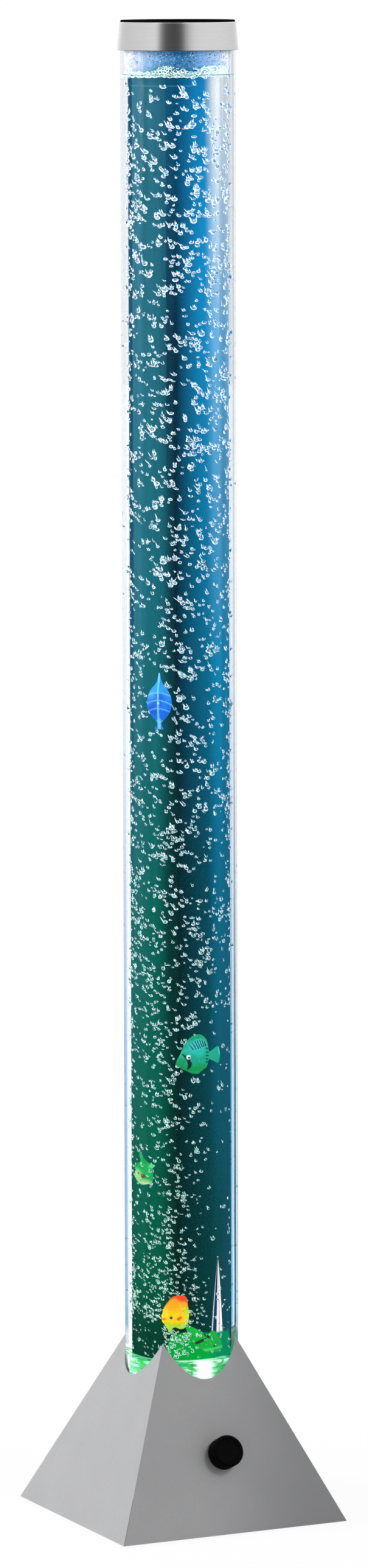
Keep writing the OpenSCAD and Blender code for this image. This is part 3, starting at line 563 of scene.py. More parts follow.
def strands(look, share, up):
    """The water's painted light by its share of the way across, along RIGHT, and up the tube."""
    left, heart, right, glare = (look.hues(up, STRANDS[name]) for name in ("left", "heart", "right", "glare"))
    # Paler painted light towards the left edge, more of it higher up
    tint = look.mix(look.times(look.span(share, 0.15, 0.0, 0, 0.25), up), left, rgb(90, 150, 180))
    # The dark heart is painted shade; its edge on the left is soft below and sharp above
    soft = look.span(share, 0.2, 0.46)
    sharp = look.times(look.span(share, 0.332, 0.342, 0, 0.85), look.span(up, 0.5, 0.75))
    tint = look.mix(look.math("MAXIMUM", soft, sharp), tint, heart)
    tint = look.mix(look.span(share, 0.47, 0.79), tint, right)
    tint = look.mix(look.span(share, 0.8, 0.95, smooth=True), tint, glare)
    # Painted shade along the right edge
    return look.mix(look.span(share, 0.95, 0.99, 0, 0.3), tint, rgb(20, 84, 110))


def far_edge(look, side, z, streaks):
    """Where the water's far edge draws a line of painted light under the froth, and the line's end."""
    height, end = WATER_TOP - 7.8 * MM, 0.34
    line = look.span(look.gap(z, height), 0.2 * MM, 0.45 * MM, 1, 0)
    line = look.times(line, look.span(side, end - 0.01, end + 0.01, 1, 0))
    stop = look.span(look.gap(side, end), 0.006, 0.014, 1, 0)
    stop = look.times(stop, look.span(z, height, height + 0.2 * MM))
    return look.times(look.math("MAXIMUM", line, stop), look.span(streaks, 0.35, 0.6, 0.15, 0.4))


def plug_glow(look, z):
    """Where the plug's green light shows over it, towards the front and the back faces."""
    lobes = look.math("MAXIMUM", look.along(turned_to(36)), look.along(turned_to(180)))
    high = look.span(lobes, 0.42 * CORE_R, 0.66 * CORE_R, FLOOR_Z - 6 * MM, FLOOR_Z + 23 * MM, smooth=True)
    edge = look.math("ADD", look.span(look.noise(50, 2), 0.3, 0.7, -4 * MM, 4 * MM), z)
    return look.span(look.math("SUBTRACT", edge, high), -1.5 * MM, 1.5 * MM, 1, 0, smooth=True)


def sliver(look, side, z):
    """The sliver of glare that tapers upwards at the photo's right: where it is, and its colours."""
    taper = look.times(look.math("POWER", look.span(z, SLIVER_LOW, SLIVER_HIGH, 1, 0), 0.75), 0.115)
    over = look.span(z, SLIVER_LOW, SLIVER_LOW + 2 * MM)
    middle = look.span(z, SLIVER_LOW, SLIVER_HIGH, 0.82, 0.85)
    share = look.times(look.span(look.math("SUBTRACT", taper, look.gap(side, middle)), 0, 0.008), over)
    within = look.math("DIVIDE", look.math("SUBTRACT", side, middle), look.math("MAXIMUM", taper, 0.004))
    return share, look.hues(look.span(within, -1, 1), (
        (0.0, 240, 244, 255), (0.08, 236, 240, 255), (0.15, 20, 60, 90), (0.46, 14, 58, 84), (0.52, 255, 255, 255),
        (0.68, 244, 222, 236), (0.74, 110, 110, 160), (0.8, 252, 252, 255), (1.0, 255, 255, 255),
    ))


def lit_water():
    """The coloured light in the water. It stands in for what an empty tube lacks: its depth of lit water."""
    look = Look("lit_water", roughness=0.5, specular_ior_level=0.0)
    side = look.math("DIVIDE", look.along(RIGHT), CORE_R)
    z = look.axes()[2]
    up = look.span(z, FLOOR_Z, WATER_TOP)
    streaks = look.noise(150, 5, (1, 1, 0.02))
    share = look.math("ADD", look.span(side, -1, 1), look.span(streaks, 0.2, 0.8, -0.035, 0.035), clamp=True)
    tint = strands(look, share, up)
    # Fine dust that catches the light on the photo's right
    dust = look.span(look.noise(1500, 2), 0.52, 0.68)
    dust = look.times(dust, look.span(side, -0.2, 0.5, 0.05, 0.34))
    dust = look.times(dust, look.span(z, 0.5, 1.0, 0.3, 1.0))
    tint = look.mix(dust, tint, rgb(28, 156, 216))
    # The far edge's painted line of light
    tint = look.mix(far_edge(look, side, z, streaks), tint, rgb(120, 180, 214))
    green = look.mix(look.span(side, 0.6, 0.85), GLOW_GREEN, rgb(2, 142, 96))
    tint = look.mix(plug_glow(look, z), tint, green)
    where, glare = sliver(look, side, z)
    tint = look.mix(where, tint, glare)
    tint = look.mix(look.span(streaks, 0.4, 0.65, 0, 0.16), tint, BLACK)
    # The thin dark line of painted shade at its silhouette on the left, higher up
    line = look.times(look.span(side, -0.985, -0.995, 0, 0.7), look.span(up, 0.3, 0.6))
    return look.lit(look.mix(line, tint, rgb(0, 50, 90)), 0.96, 0.85)


def water_core():
    """The lit heart of the water, inside the water's own surface."""
    z0 = FLOOR_Z + 0.3 * MM
    steps = 40
    wall = [(CORE_R, z0 + (CORE_TOP - 2 * MM - z0) * i / steps) for i in range(steps + 1)]
    profile = wall + [(CORE_R - 0.6 * MM, CORE_TOP - 0.6 * MM), (CORE_R - 2 * MM, CORE_TOP), (0, CORE_TOP)]
    return piece("lit_water", *lathe(profile), [lit_water()])


def glow_film():
    """The plug's green light on the tube's wall, beside the column at the photo's right."""
    look = Look("glow_film", roughness=0.5, specular_ior_level=0.1)
    cloud = look.noise(120, 4, distortion=0.8)
    paint = look.lit(look.hues(cloud, ((0.3, 2, 120, 84), (0.7, 4, 158, 104))), 0.7, 0.5)
    steps, start, reach = 48, 62, 88
    foot = Vector((0, 0, FLOOR_Z + 0.4 * MM))
    points, faces = [], []
    for i in range(steps + 1):
        share = i / steps
        out = turned_to(start + reach * share)
        top = Vector((0, 0, FLOOR_Z + (8 + 15 * math.sin(math.pi * min(1, share * 2) / 2)) * MM))
        for r in (BORE_R - 0.7 * MM, BORE_R - 0.4 * MM):
            points += [out * r + foot, out * r + top]
    for a in range(0, 4 * steps, 4):
        b = a + 4
        faces += [(a, a + 1, b + 1, b), (a + 2, b + 2, b + 3, a + 3)]
        faces += [(a + 1, a + 3, b + 3, b + 1), (a, b, b + 2, a + 2)]
    faces += [(0, 2, 3, 1), tuple(4 * steps + k for k in (0, 1, 3, 2))]
    return piece("glow_film", points, faces, [paint])


def mist_film():
    """The misted stretch of the tube's wall over the water, up to the cap's plug, with the water's glow painted on
    it, and the froth's dark back, a sheet of painted shade and light, which leans inwards below it."""
    look = Look("mist", roughness=0.35, specular_ior_level=0.2)
    side = look.math("DIVIDE", look.along(RIGHT), BORE_R)
    swirl = look.noise(70, 5, (1, 1, 2.2), distortion=2.2)
    share = look.math("ADD", look.span(side, -1, 1), look.span(swirl, 0.3, 0.7, -0.06, 0.06), clamp=True)
    # Painted light: the water's glow through the mist, pale at both edges
    tint = look.hues(share, (
        (0.02, 228, 228, 240), (0.12, 156, 172, 204), (0.28, 96, 146, 186), (0.46, 26, 100, 148),
        (0.58, 26, 106, 150), (0.74, 104, 154, 204), (0.88, 170, 196, 230), (0.98, 246, 246, 250),
    ))
    streaks = look.noise(260, 4, (1, 1, 2.6), distortion=1.2)
    tint = look.mix(look.span(streaks, 0.56, 0.7, 0, 0.4), tint, rgb(176, 186, 232))
    beads = look.noise(820, 3, (1, 1, 1.3))
    high = look.span(look.axes()[2], WATER_TOP, CAP_LOW, 0.62, 0.56)
    tint = look.mix(look.span(look.math("SUBTRACT", beads, high), 0.0, 0.03, 0, 0.85), tint, rgb(16, 44, 88))
    tint = look.mix(look.span(beads, 0.36, 0.32, 0, 0.7), tint, rgb(222, 236, 250))
    # The froth's back: the water's light and shade, painted dark in the middle and pale at the edges
    froth = look.math("ADD", look.axes()[2], look.span(look.noise(60, 3), 0.3, 0.7, -2 * MM, 2 * MM))
    froth = look.math("ADD", froth, look.span(side, -0.25, -0.5, 0, 3.5 * MM))
    under = look.hues(look.span(side, -1, 1), (
        (0.1, 120, 196, 206), (0.35, 14, 96, 104), (0.5, 8, 84, 96), (0.7, 30, 122, 168), (0.9, 180, 214, 236),
    ))
    tint = look.mix(look.span(froth, WATER_TOP + 8 * MM, WATER_TOP + 6 * MM), tint, under)
    look.bump(beads, 0.5)
    paint = look.lit(tint, 0.62, 0.45)
    r = BORE_R - 0.25 * MM
    thick = 0.25 * MM
    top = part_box("cap_liner")[0].z - 0.3 * MM
    knee, foot, lean = WATER_TOP + 9 * MM, WATER_TOP + 0.6 * MM, 5.5 * MM
    outer = [(r - lean, foot), (r, knee), (r, top)]
    profile = outer + [(x - thick, z) for x, z in reversed(outer)]
    return piece("mist_film", *lathe(profile, close=True), [paint])


# ---------------------------------------------------------------- bubbles

chance = random.Random(11)

STRETCHES = 6                               # the bubbles' meshes, one above the other
LONE_BUBBLES, BUBBLE_GROUPS, SWARM = 5200, 1400, 2000
TRIES = 14                                  # places tried for each bubble
FROTH_ROWS, FROTH_FOOT, FLOATING = 900, 420, 160

# How far each fish drifts down and up
FISH_RANGES = {joint["child"]: joint["range_m"] for joint in frame["joints"] if "fish" in joint["child"]}


def hull(points):
    """The convex outline of level points, anticlockwise."""
    points = sorted(set((round(p[0], 5), round(p[1], 5)) for p in points))
    half = []
    for run in (points, points[::-1]):
        side = []
        for p in run:
            while len(side) > 1 and (
                (side[-1][0] - side[-2][0]) * (p[1] - side[-2][1])
                - (side[-1][1] - side[-2][1]) * (p[0] - side[-2][0])
            ) <= 0:
                side.pop()
            side.append(p)
        half += side[:-1]
    return half


def clear_of(outline, place, size):
    """Whether a bubble's flat body, which faces away from the axis, stays outside a convex outline."""
    x, y = place.x, place.y
    r = math.hypot(x, y)
    for (x0, y0), (x1, y1) in zip(outline, outline[1:] + outline[:1]):
        long = math.hypot(x1 - x0, y1 - y0)
        nx, ny = (y1 - y0) / long, (x0 - x1) / long
        facing = abs(nx * x + ny * y) / r
        reach = size * (0.5 * facing + 1.7 * math.sqrt(max(0, 1 - facing**2))) + 0.3 * MM
        if (x - x0) * nx + (y - y0) * ny > reach:
            return True
    return False


def bubble(mesh, centre, size, wide, high, spikes, cup=None, inside=0.68):
    """Adds a bubble as the light draws it: a dim hollow face in a bright rim that is thick below,
    with slivers of glare that rise from the rim. spikes: (place on the rim, length, lean).
    With cup, the rim is bright only where it lies lower than that share of the bubble's radius."""
    points, faces, kinds = mesh
    hollow, bright = 0, 1
    out = Vector((centre.x, centre.y, 0)).normalized()
    across = Vector((-out.y, out.x, 0))
    up = Vector((0, 0, 1))
    sides = 10

    def at(x, y, z):
        return centre + size * (across * (x * wide) + up * (y * high) + out * z)

    first = len(points)
    points.append(at(0, 0.16, 0.3))
    for scale, lift, z in ((inside, 0.5 - 0.5 * inside, 0.42), (1.0, 0.0, 0.1)):
        points.extend(at(scale * math.cos(a), scale * math.sin(a) + lift, z) for a in turns(sides))
    points.append(at(0, 0, -0.5))
    inner, outer, back = first + 1, first + 1 + sides, first + 1 + 2 * sides
    for k in range(sides):
        m = (k + 1) % sides
        faces += [(first, inner + k, inner + m), (inner + k, outer + k, outer + m, inner + m)]
        faces.append((outer + k, back, outer + m))
        lit = cup is None or math.sin(TAU * (k + 0.5) / sides) < cup
        kinds += [hollow, bright if lit else hollow, hollow]
    for place, long, lean in spikes:
        x, y = 0.86 * math.cos(place), 0.86 * math.sin(place)
        a, b, c, tip = range(len(points), len(points) + 4)
        points += [at(x - 0.26, y - 0.1, 0.3), at(x + 0.26, y - 0.1, 0.3), at(x, y, 0.1)]
        points.append(at(x + lean * long, y + long, 0.2))
        faces += [(a, b, tip), (b, c, tip), (c, a, tip), (a, c, b)]
        kinds += [bright] * 4


def bubble_look():
    """The hollow of a bubble: the lit water behind it, darker with painted shade, with pale streaks of painted
    highlight.
    """
    look = Look("bubble", roughness=0.12, specular_ior_level=0.25)
    up = look.span(look.axes()[2], 0.2, WATER_TOP)
    left = look.hues(up, ((0.0, 6, 88, 62), (0.35, 6, 86, 82), (0.7, 20, 100, 122), (1.0, 36, 112, 142)))
    right = look.hues(up, ((0.0, 8, 76, 80), (0.35, 14, 90, 118), (0.7, 24, 118, 168), (1.0, 96, 166, 214)))
    tint = look.mix(look.span(look.along(RIGHT), -CORE_R, CORE_R), left, right)
    streaks = look.noise(1300, 3, (1, 1, 0.45))
    tint = look.mix(look.span(streaks, 0.47, 0.62, 0, 0.85), tint, rgb(214, 236, 248))
    return look.lit(look.mix(look.span(streaks, 0.45, 0.36, 0, 0.3), tint, rgb(4, 34, 48)), 0.55, 0.5)


def glint_look():
    """A bubble's bright rim, painted highlight: white in patches, and the water's painted light between them."""
    look = Look("glint", roughness=0.3, specular_ior_level=0.3)
    z = look.axes()[2]
    water_tint = look.hues(look.span(z, 0.15, WATER_TOP), (
        (0.0, 120, 214, 178), (0.5, 120, 206, 214), (1.0, 170, 220, 244),
    ))
    white = look.math("ADD", look.noise(1000, 2), look.span(z, 0.3, 0.9, -0.06, 0.02))
    return look.lit(look.mix(look.span(white, 0.38, 0.54), water_tint, rgb(255, 250, 252)), 0.6)


def crowding(side, z):
    """How likely a bubble is, by its place across the photo and its height."""
    if z > 0.9:
        return 0.8 + 0.1 * side
    if z > 0.55:
        return 0.85 - 0.15 * abs(side)
    if z > 0.42:
        return 0.95 - 0.25 * max(0, side)
    if z > 0.165:
        return 1.0 if side < 0.35 else max(0.12, 1.0 - 2.6 * (side - 0.35))
    return 1.0 if -0.5 < side < 0.25 else 0.15


def free_place(z, size, lanes, angle=None):
    """A place in the water at a height, clear of where the fish pass. None if there is none."""
    a = chance.uniform(0, TAU) if angle is None else angle
    near = [outline for outline, low, high in lanes if low - 3.5 * size < z < high + size]
    # The wall bends the camera's view by EDGE_BEND beside the column, where the water stays clear
    turn = math.acos(max(-1, min(1, polar(1, a).dot(FRONT)))) - EDGE_BEND
    start = BUBBLES_FROM + 0.5 * size
    finish = max(start, min(BUBBLES_TO, CORE_R / max(math.sin(turn), 0.1)) - 0.5 * size)
    for _ in range(TRIES):
        place = polar(chance.uniform(start, finish), a, z)
        if all(clear_of(outline, place, size) for outline in near):
            return place
    return None


def bubbles(lanes):
    """All the bubbles, in one mesh for each stretch of the tube."""
    meshes = [([], [], []) for _ in range(STRETCHES)]
    low, high = FLOOR_Z + 3 * MM, WATER_TOP - 6 * MM

    def put(z, size, angle=None):
        place = free_place(z, size, lanes, angle)
        if place is None or chance.random() > crowding(place.dot(RIGHT) / CORE_R, z):
            return
        if place.dot(FRONT) < 0 and chance.random() < 0.3:
            return
        # The camera's view crowds them together towards the column's edge
        turn = Vector((place.x, place.y, 0)).angle(FRONT) - EDGE_BEND
        if chance.random() > 0.05 + 1.15 * abs(math.cos(turn)):
            return
        kind = chance.random()
        lean = chance.gauss(-0.32, 0.24)
        if kind < 0.15:
            spikes = []
        elif kind < 0.4:
            spikes = [(chance.uniform(1.9, 3.1), chance.uniform(1.4, 3.0), lean)]
        else:
            spikes = [
                (chance.uniform(0.0, 3.3), chance.uniform(0.9, 2.2), lean + chance.gauss(0, 0.1))
                for _ in range(chance.randint(2, 5))
            ]
        index = min(STRETCHES - 1, int((z - low) / (high - low) * STRETCHES))
        cup = None if chance.random() < 0.3 else chance.uniform(-0.1, 0.6)
        shape = chance.uniform(0.7, 1.15), chance.uniform(0.45, 0.8)
        bubble(meshes[index], place, size, *shape, spikes, cup, chance.uniform(0.66, 0.84))

    def usual_size(z):
        return chance.triangular(1.0, 3.1, 1.7) * MM * (0.6 + 0.4 * (z - low) / (high - low))

    for _ in range(LONE_BUBBLES):
        z = low + (high - low) * chance.random()
        put(z, usual_size(z))
    # Groups that rise together, side by side
    for _ in range(BUBBLE_GROUPS):
        z, a = low + (high - low) * chance.random(), chance.uniform(0, TAU)
        for _ in range(chance.randint(2, 5)):
            put(z + chance.gauss(0, 1.6 * MM), usual_size(z) * 0.8, a + chance.gauss(0, 0.1))
    # The swarm over the air stone
    for _ in range(SWARM):
        put(low + abs(chance.gauss(0, 40 * MM)), chance.uniform(0.5, 1.3) * MM)
    looks = [bubble_look(), glint_look()]
    for index, (points, faces, kinds) in enumerate(meshes):
        piece(f"bubbles_{index + 1}", points, faces, looks, kinds=kinds)


def foam_looks():
    """The froth's thin films, painted with the water's light and paler towards both sides, and their bright rims,
    painted highlights.
    """
    film = Look("foam_film", roughness=0.15, specular_ior_level=0.3)
    side = film.span(film.along(RIGHT), -BORE_R, BORE_R)
    tint = film.hues(film.math("ADD", side, film.span(film.noise(500, 2), 0.3, 0.7, -0.12, 0.12), clamp=True), (
        (0.1, 150, 214, 224), (0.35, 20, 122, 122), (0.5, 16, 100, 104), (0.65, 40, 140, 170), (0.85, 190, 226, 240),
    ))
    rim = Look("foam_rim", roughness=0.2)
    pale = rim.hues(rim.noise(700, 2), ((0.38, 176, 232, 232), (0.5, 255, 255, 255)))
    return [film.lit(tint, 0.55, 0.5), rim.lit(pale, 0.5)]


def foam():
    """Froth on the water: rows of bubbles against the wall, and a few over the middle."""
    mesh = ([], [], [])
    for _ in range(FROTH_ROWS):
        size = chance.triangular(0.7, 2.6, 1.2) * MM
        a = chance.uniform(0, TAU)
        swell = 1 + 0.7 * noise.noise(polar(1.9, a, 3))
        if polar(1, a).dot(RIGHT) < -0.38:
            swell *= 0.55
        high = chance.triangular(-0.4, 7.4, 0.8) * MM * swell
        # Higher bubbles lie closer to the wall, over the slope behind them
        room = max(0.0, 4.5 * MM - 0.6 * high)
        r = BORE_R - 0.4 * MM - 0.5 * size - chance.uniform(0, 0.5) * room
        bubble(mesh, polar(r, a, WATER_TOP + high), size, 1.0, chance.uniform(0.45, 0.85), [])
    # A dense row along its foot
    for _ in range(FROTH_FOOT):
        size, a = chance.uniform(0.7, 1.5) * MM, chance.uniform(0, TAU)
        r = BORE_R - 0.4 * MM - 0.5 * size
        bubble(mesh, polar(r, a, WATER_TOP + chance.gauss(0.6, 0.7) * MM), size, 1.5, 0.55, [])
    for _ in range(FLOATING):
        size = chance.uniform(0.8, 2.4) * MM
        a, r = chance.uniform(0, TAU), 34 * MM * math.sqrt(chance.random())
        ball(mesh, polar(r, a, WATER_TOP + chance.uniform(0, 1) * MM), size)
    points, faces, kinds = mesh
    piece("foam", points, faces, foam_looks(), kinds=kinds)


def ball(mesh, centre, size):
    """Adds a whole round bubble."""
    points, faces, kinds = mesh
    sides, rows = 10, 6
    first = len(points)
    points.append(centre - Vector((0, 0, size)))
    for row in range(1, rows):
        p = math.pi * row / rows
        points.extend(centre + size * polar(math.sin(p), a, -math.cos(p)) for a in turns(sides))
    points.append(centre + Vector((0, 0, size)))
    last = len(points) - 1
    for k in range(sides):
        m = (k + 1) % sides
        faces.append((first, first + 1 + m, first + 1 + k))
        for row in range(rows - 2):
            a = first + 1 + row * sides
            faces.append((a + k, a + m, a + sides + m, a + sides + k))
        faces.append((last - sides + k, last - sides + m, last))
    kinds.extend([0] * (sides * rows))


# ---------------------------------------------------------------- fish


# Each fish's direction from the axis in degrees, its distance from the axis and its height in mm
FISH_PLACES = {
    "fish_blue": (-139.8, 38, 668.5),
    "fish_striped": (-97.4, 36.5, 383.5),
    "fish_small": (-162, 37, 288.5),
    "fish_orange": (-124, 38.5, 172),
    "fish_green": (-87, 33.2, 149.5),
}


def fish(
    body, rim, plump, thick, paint, shine=0.72, fin=0.5, upright=False, ripple=None, wide=1.0, steps=96, rows=56,
):
    """A moulded fish: a closed relief on its own level line, h across towards the photo's right, v up.
    rim gives the whole outline, fins included, plump the part that is thick, each as stops of
    (along, low, high). upright turns the length to run down instead of across, and wide stretches h.
    paint gives a screen colour for (h, v), and ripple a height over the relief's own."""
    degrees, r, z = FISH_PLACES[body]
    out = polar(1, math.radians(degrees))
    place = out * r * MM + Vector((0, 0, z * MM))
    across = Vector((-out.y, out.x, 0))
    head, tail = rim[0][0], rim[-1][0]

    def ends(stops, x):
        return curve([stop[:2] for stop in stops], x), curve([(stop[0], stop[2]) for stop in stops], x)

    def depth(x, y):
        """Half the thickness at a place along and across the length, in mm."""
        start, finish = plump[0][0], plump[-1][0]
        if start < x < finish:
            low, high = ends(plump, x)
            if low < y < high:
                round_off = max(0.0, 1 - (2 * (y - low) / (high - low) - 1) ** 2) ** 0.62
                length = finish - start
                lengthwise = min(1.0, (x - start) / (0.3 * length), (finish - x) / (0.42 * length))
                return thick / 2 * round_off * math.sin(0.5 * math.pi * lengthwise) ** 0.6
        return 0.0

    points, colours, faces, columns = [], [], [], []
    for i in range(steps + 1):
        x = head + (tail - head) * (0.5 - 0.5 * math.cos(math.pi * i / steps))
        low, high = ends(rim, x)
        lip = max(0.0, min(1.0, 8 * min(x - head, tail - x) / (tail - head)))
        columns.append(range(len(points), len(points) + 2 * rows))
        for j in range(2 * rows):
            part = j / rows if j <= rows else (2 * rows - j) / rows
            y = low + (high - low) * (0.5 - 0.5 * math.cos(math.pi * part))
            h, v = (y, -x) if upright else (x, y)
            edge = min(1.0, 3.5 * math.sin(math.pi * part))
            deep = max(fin * edge * lip, depth(x, y)) + (ripple(h, v) * edge * lip if ripple else 0.0)
            if deep < 1e-4 and 0 < part < 1:
                deep = 1e-3
            if j > rows:
                deep = -deep
            points.append(place + MM * (across * h * wide + out * deep + Vector((0, 0, v))))
            colours.append(rgb(*paint(h, v)))
    for a, b in zip(columns, columns[1:]):
        for j in range(2 * rows):
            k = (j + 1) % (2 * rows)
            faces.append((a[j], b[j], b[k], a[k]))
    faces += [tuple(columns[0]), tuple(reversed(columns[-1]))]
    look = fish_look(body + "_paint", shine)
    obj = piece(body + "_shape", points, faces, [look], body=body, colours=colours)
    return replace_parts(obj, body)


def fish_look(name, shine):
    """Painted plastic that the lamp lights through the water."""
    look = Look(name, roughness=0.4, specular_ior_level=0.12)
    paint = look.add("VertexColor", layer_name="paint")["Color"]
    grain = look.noise(420, 4)
    tint = look.mix(look.span(grain, 0.35, 0.7, 0, 0.18), paint, BLACK)
    tint = look.mix(look.span(look.noise(1600, 2), 0.66, 0.74, 0, 0.3), tint, (1.0, 1.0, 1.0))
    look.bump(grain, 0.25)
    return look.lit(tint, shine, 0.55)


def layered(tint, *layers):
    """A screen colour with others painted over it, each as (colour, share)."""
    for colour, share in layers:
        share = min(1.0, max(0.0, share))
        tint = tuple(p + (q - p) * share for p, q in zip(tint, colour))
    return tint


def stroke(value, half, soft=0.25):
    """1 within half of 0, falling to 0 over soft."""
    return min(1.0, max(0.0, (half + soft - abs(value)) / soft))


def spot(h, v, at_h, at_v, radius, soft=0.3, squash=1.0):
    """1 within radius of a place, falling to 0 over soft. squash stretches it upwards."""
    return stroke(math.hypot(h - at_h, (v - at_v) / squash), radius, soft)


def segment(h, v, a, b, half_a, half_b, soft=0.25):
    """A stroke from a to b whose half width goes from half_a to half_b."""
    dx, dy = b[0] - a[0], b[1] - a[1]
    t = min(1.0, max(0.0, ((h - a[0]) * dx + (v - a[1]) * dy) / (dx * dx + dy * dy)))
    away = math.hypot(h - a[0] - t * dx, v - a[1] - t * dy)
    return stroke(away, half_a + (half_b - half_a) * t, soft)


def chain(h, v, stops, soft=0.25):
    """A bent stroke through stops of (h, v, half width)."""
    return max(segment(h, v, a[:2], b[:2], a[2], b[2], soft) for a, b in zip(stops, stops[1:]))


def fish_blue():
    bows = ((8.2, 0.045, 0.28), (2.0, 0.05, 0.34), (-4.6, 0.05, 0.28))

    def paint(h, v):
        return layered(
            (22, 104, 222),
            ((36, 150, 236), (v + 6) / 16),
            ((30, 62, 196), 0.55 * spot(h, v, -1.0, 3.0, 3.2, 3.5)),
            ((20, 60, 170), 0.5 * spot(h, v, -4.0, -5.5, 2.6, 3.0)),
            # A painted highlight at the upper left
            ((92, 176, 246), 0.6 * spot(h, v, -4.6, 6.0, 1.4, 3.0)),
            *(((96, 200, 244), 0.85 * stroke(v - at + bend * h * h, half)) for at, bend, half in bows),
            ((128, 212, 250), 0.8 * stroke(h, 0.4 if v > -12 else 0.9, 0.4)),
            ((220, 246, 255), spot(h, v, 0.2, -0.2, 0.5, 0.5)),
            ((110, 206, 240), 0.5 * stroke(v + 15, 0.5, 0.6)),
        )

    def ripple(h, v):
        return 0.55 * stroke(h, 0.5, 0.5) + 0.22 * max(stroke(v - bow[0] + 0.05 * h * h, 0.2, 0.4) for bow in bows)

    rim = (
        (-24, -0.3, 0.3), (-19, -1.1, 1.1), (-15, -2.4, 2.4), (-11, -5.2, 5.2), (-5, -7.6, 7.6), (0, -8.2, 8.2),
        (5, -7.7, 7.7), (10, -5.6, 5.6), (13, -3.6, 3.6), (15.6, -1.6, 1.6), (18, -1.5, 1.5), (21.4, -2.9, 2.9),
    )
    plump = (
        (-17, -1.6, 1.6), (-11, -4.9, 4.9), (-5, -7.4, 7.4), (0, -8.1, 8.1), (5, -7.6, 7.6), (10, -5.5, 5.5),
        (15, -1.5, 1.5),
    )
    fish("fish_blue", rim, plump, 6.2, paint, upright=True, ripple=ripple, wide=1.25)


def fish_striped():
    stripes = (
        ((-4.7, 9.0), (-2.2, 4.4)), ((-2.8, 10.6), (-0.4, 4.9)), ((-0.9, 11.3), (1.1, 5.2)),
        ((0.6, 11.8), (2.3, 5.6)), ((2.1, 12.0), (3.6, 6.2)), ((3.5, 11.9), (4.8, 6.4)), ((4.9, 11.0), (5.9, 6.6)),
    )
    cheek = (
        (-8.6, 0.8, 0.3), (-7.0, -1.8, 0.6), (-5.4, -4.2, 0.9), (-4.5, -6.8, 1.15), (-4.6, -9.4, 0.9),
        (-5.4, -11.2, 0.3),
    )

    def paint(h, v):
        return layered(
            (12, 156, 128),
            ((8, 148, 104), (v - 8) / 6),
            ((4, 140, 76), (-v - 5) / 6),
            ((2, 138, 84), spot(h, v, -10.4, -5.4, 2.2, 2.0)),
            ((30, 180, 172), 0.7 * spot(h, v, 0.5, 5.0, 4.0, 4.0)),
            *(((70, 196, 200), 0.7 * segment(h, v, *stripe, 0.7, 0.7, 0.3)) for stripe in stripes),
            *(((4, 26, 34), segment(h, v, *stripe, 0.16, 0.3, 0.16)) for stripe in stripes),
            *(
                ((6, 36, 34), segment(h, v, (6.2, at + 0.2), (7.3, at - 0.2), 0.4, 0.3))
                for at in (4.6, 1.6, -1.2, -4.0, -6.4)
            ),
            ((4, 34, 26), chain(h, v, cheek, 0.35)),
            ((96, 210, 196), 0.8 * segment(h, v, (-12, -2.6), (-8.2, 7.2), 0.15, 0.1, 0.5)),
            ((120, 220, 200), 0.7 * segment(h, v, (14.2, 5.4), (15.0, -1.0), 0.1, 0.1, 0.5)),
            ((236, 246, 244), spot(h, v, -5.4, -1.6, 1.25, 0.25, 1.3)),
            ((6, 10, 24), spot(h, v, -5.1, -1.9, 0.65, 0.2, 1.3)),
            ((250, 252, 255), spot(h, v, -5.6, -1.1, 0.25, 0.2)),
        )

    def ripple(h, v):
        """Ribs that fan out in the tail and run along the back fin."""
        if h > 8:
            return 0.16 * math.sin(math.atan2(v + 1.3, h - 4) * 34)
        if v > 7:
            return 0.16 * math.cos(TAU * (h + 0.35 * (v - 9.6) + 4.3) / 1.6)
        return 0.0

    rim = (
        (-12.6, -6.9, -6.3), (-12.2, -7.7, -5.4), (-11.4, -8.3, -3.5), (-10, -9.8, 0.2), (-7.7, -12.1, 6.9),
        (-4.8, -13.6, 12.4), (-2.6, -15.4, 14.8), (-0.5, -15.8, 15.9), (1.6, -15.6, 16.4), (3.2, -13.8, 15.9),
        (5.0, -12.2, 14.2), (6.2, -11.0, 12.2), (7.2, -8.2, 8.6), (7.9, -4.8, 3.0), (8.6, -4.5, 2.0),
        (11.2, -6.2, 4.0), (13.4, -7.8, 5.8), (14.4, -7.4, 5.0), (15.2, -3.0, 0.8),
    )
    plump = (
        (-12.4, -8, -5), (-11, -9, -2), (-8, -11.6, 4), (-4.8, -12.8, 7.6), (0, -13.4, 9.0), (4, -12, 8.2),
        (6.4, -9, 6), (8.4, -4.2, 2),
    )
    fish("fish_striped", rim, plump, 7.0, paint, 0.88, ripple=ripple, wide=1.29, steps=150, rows=72)


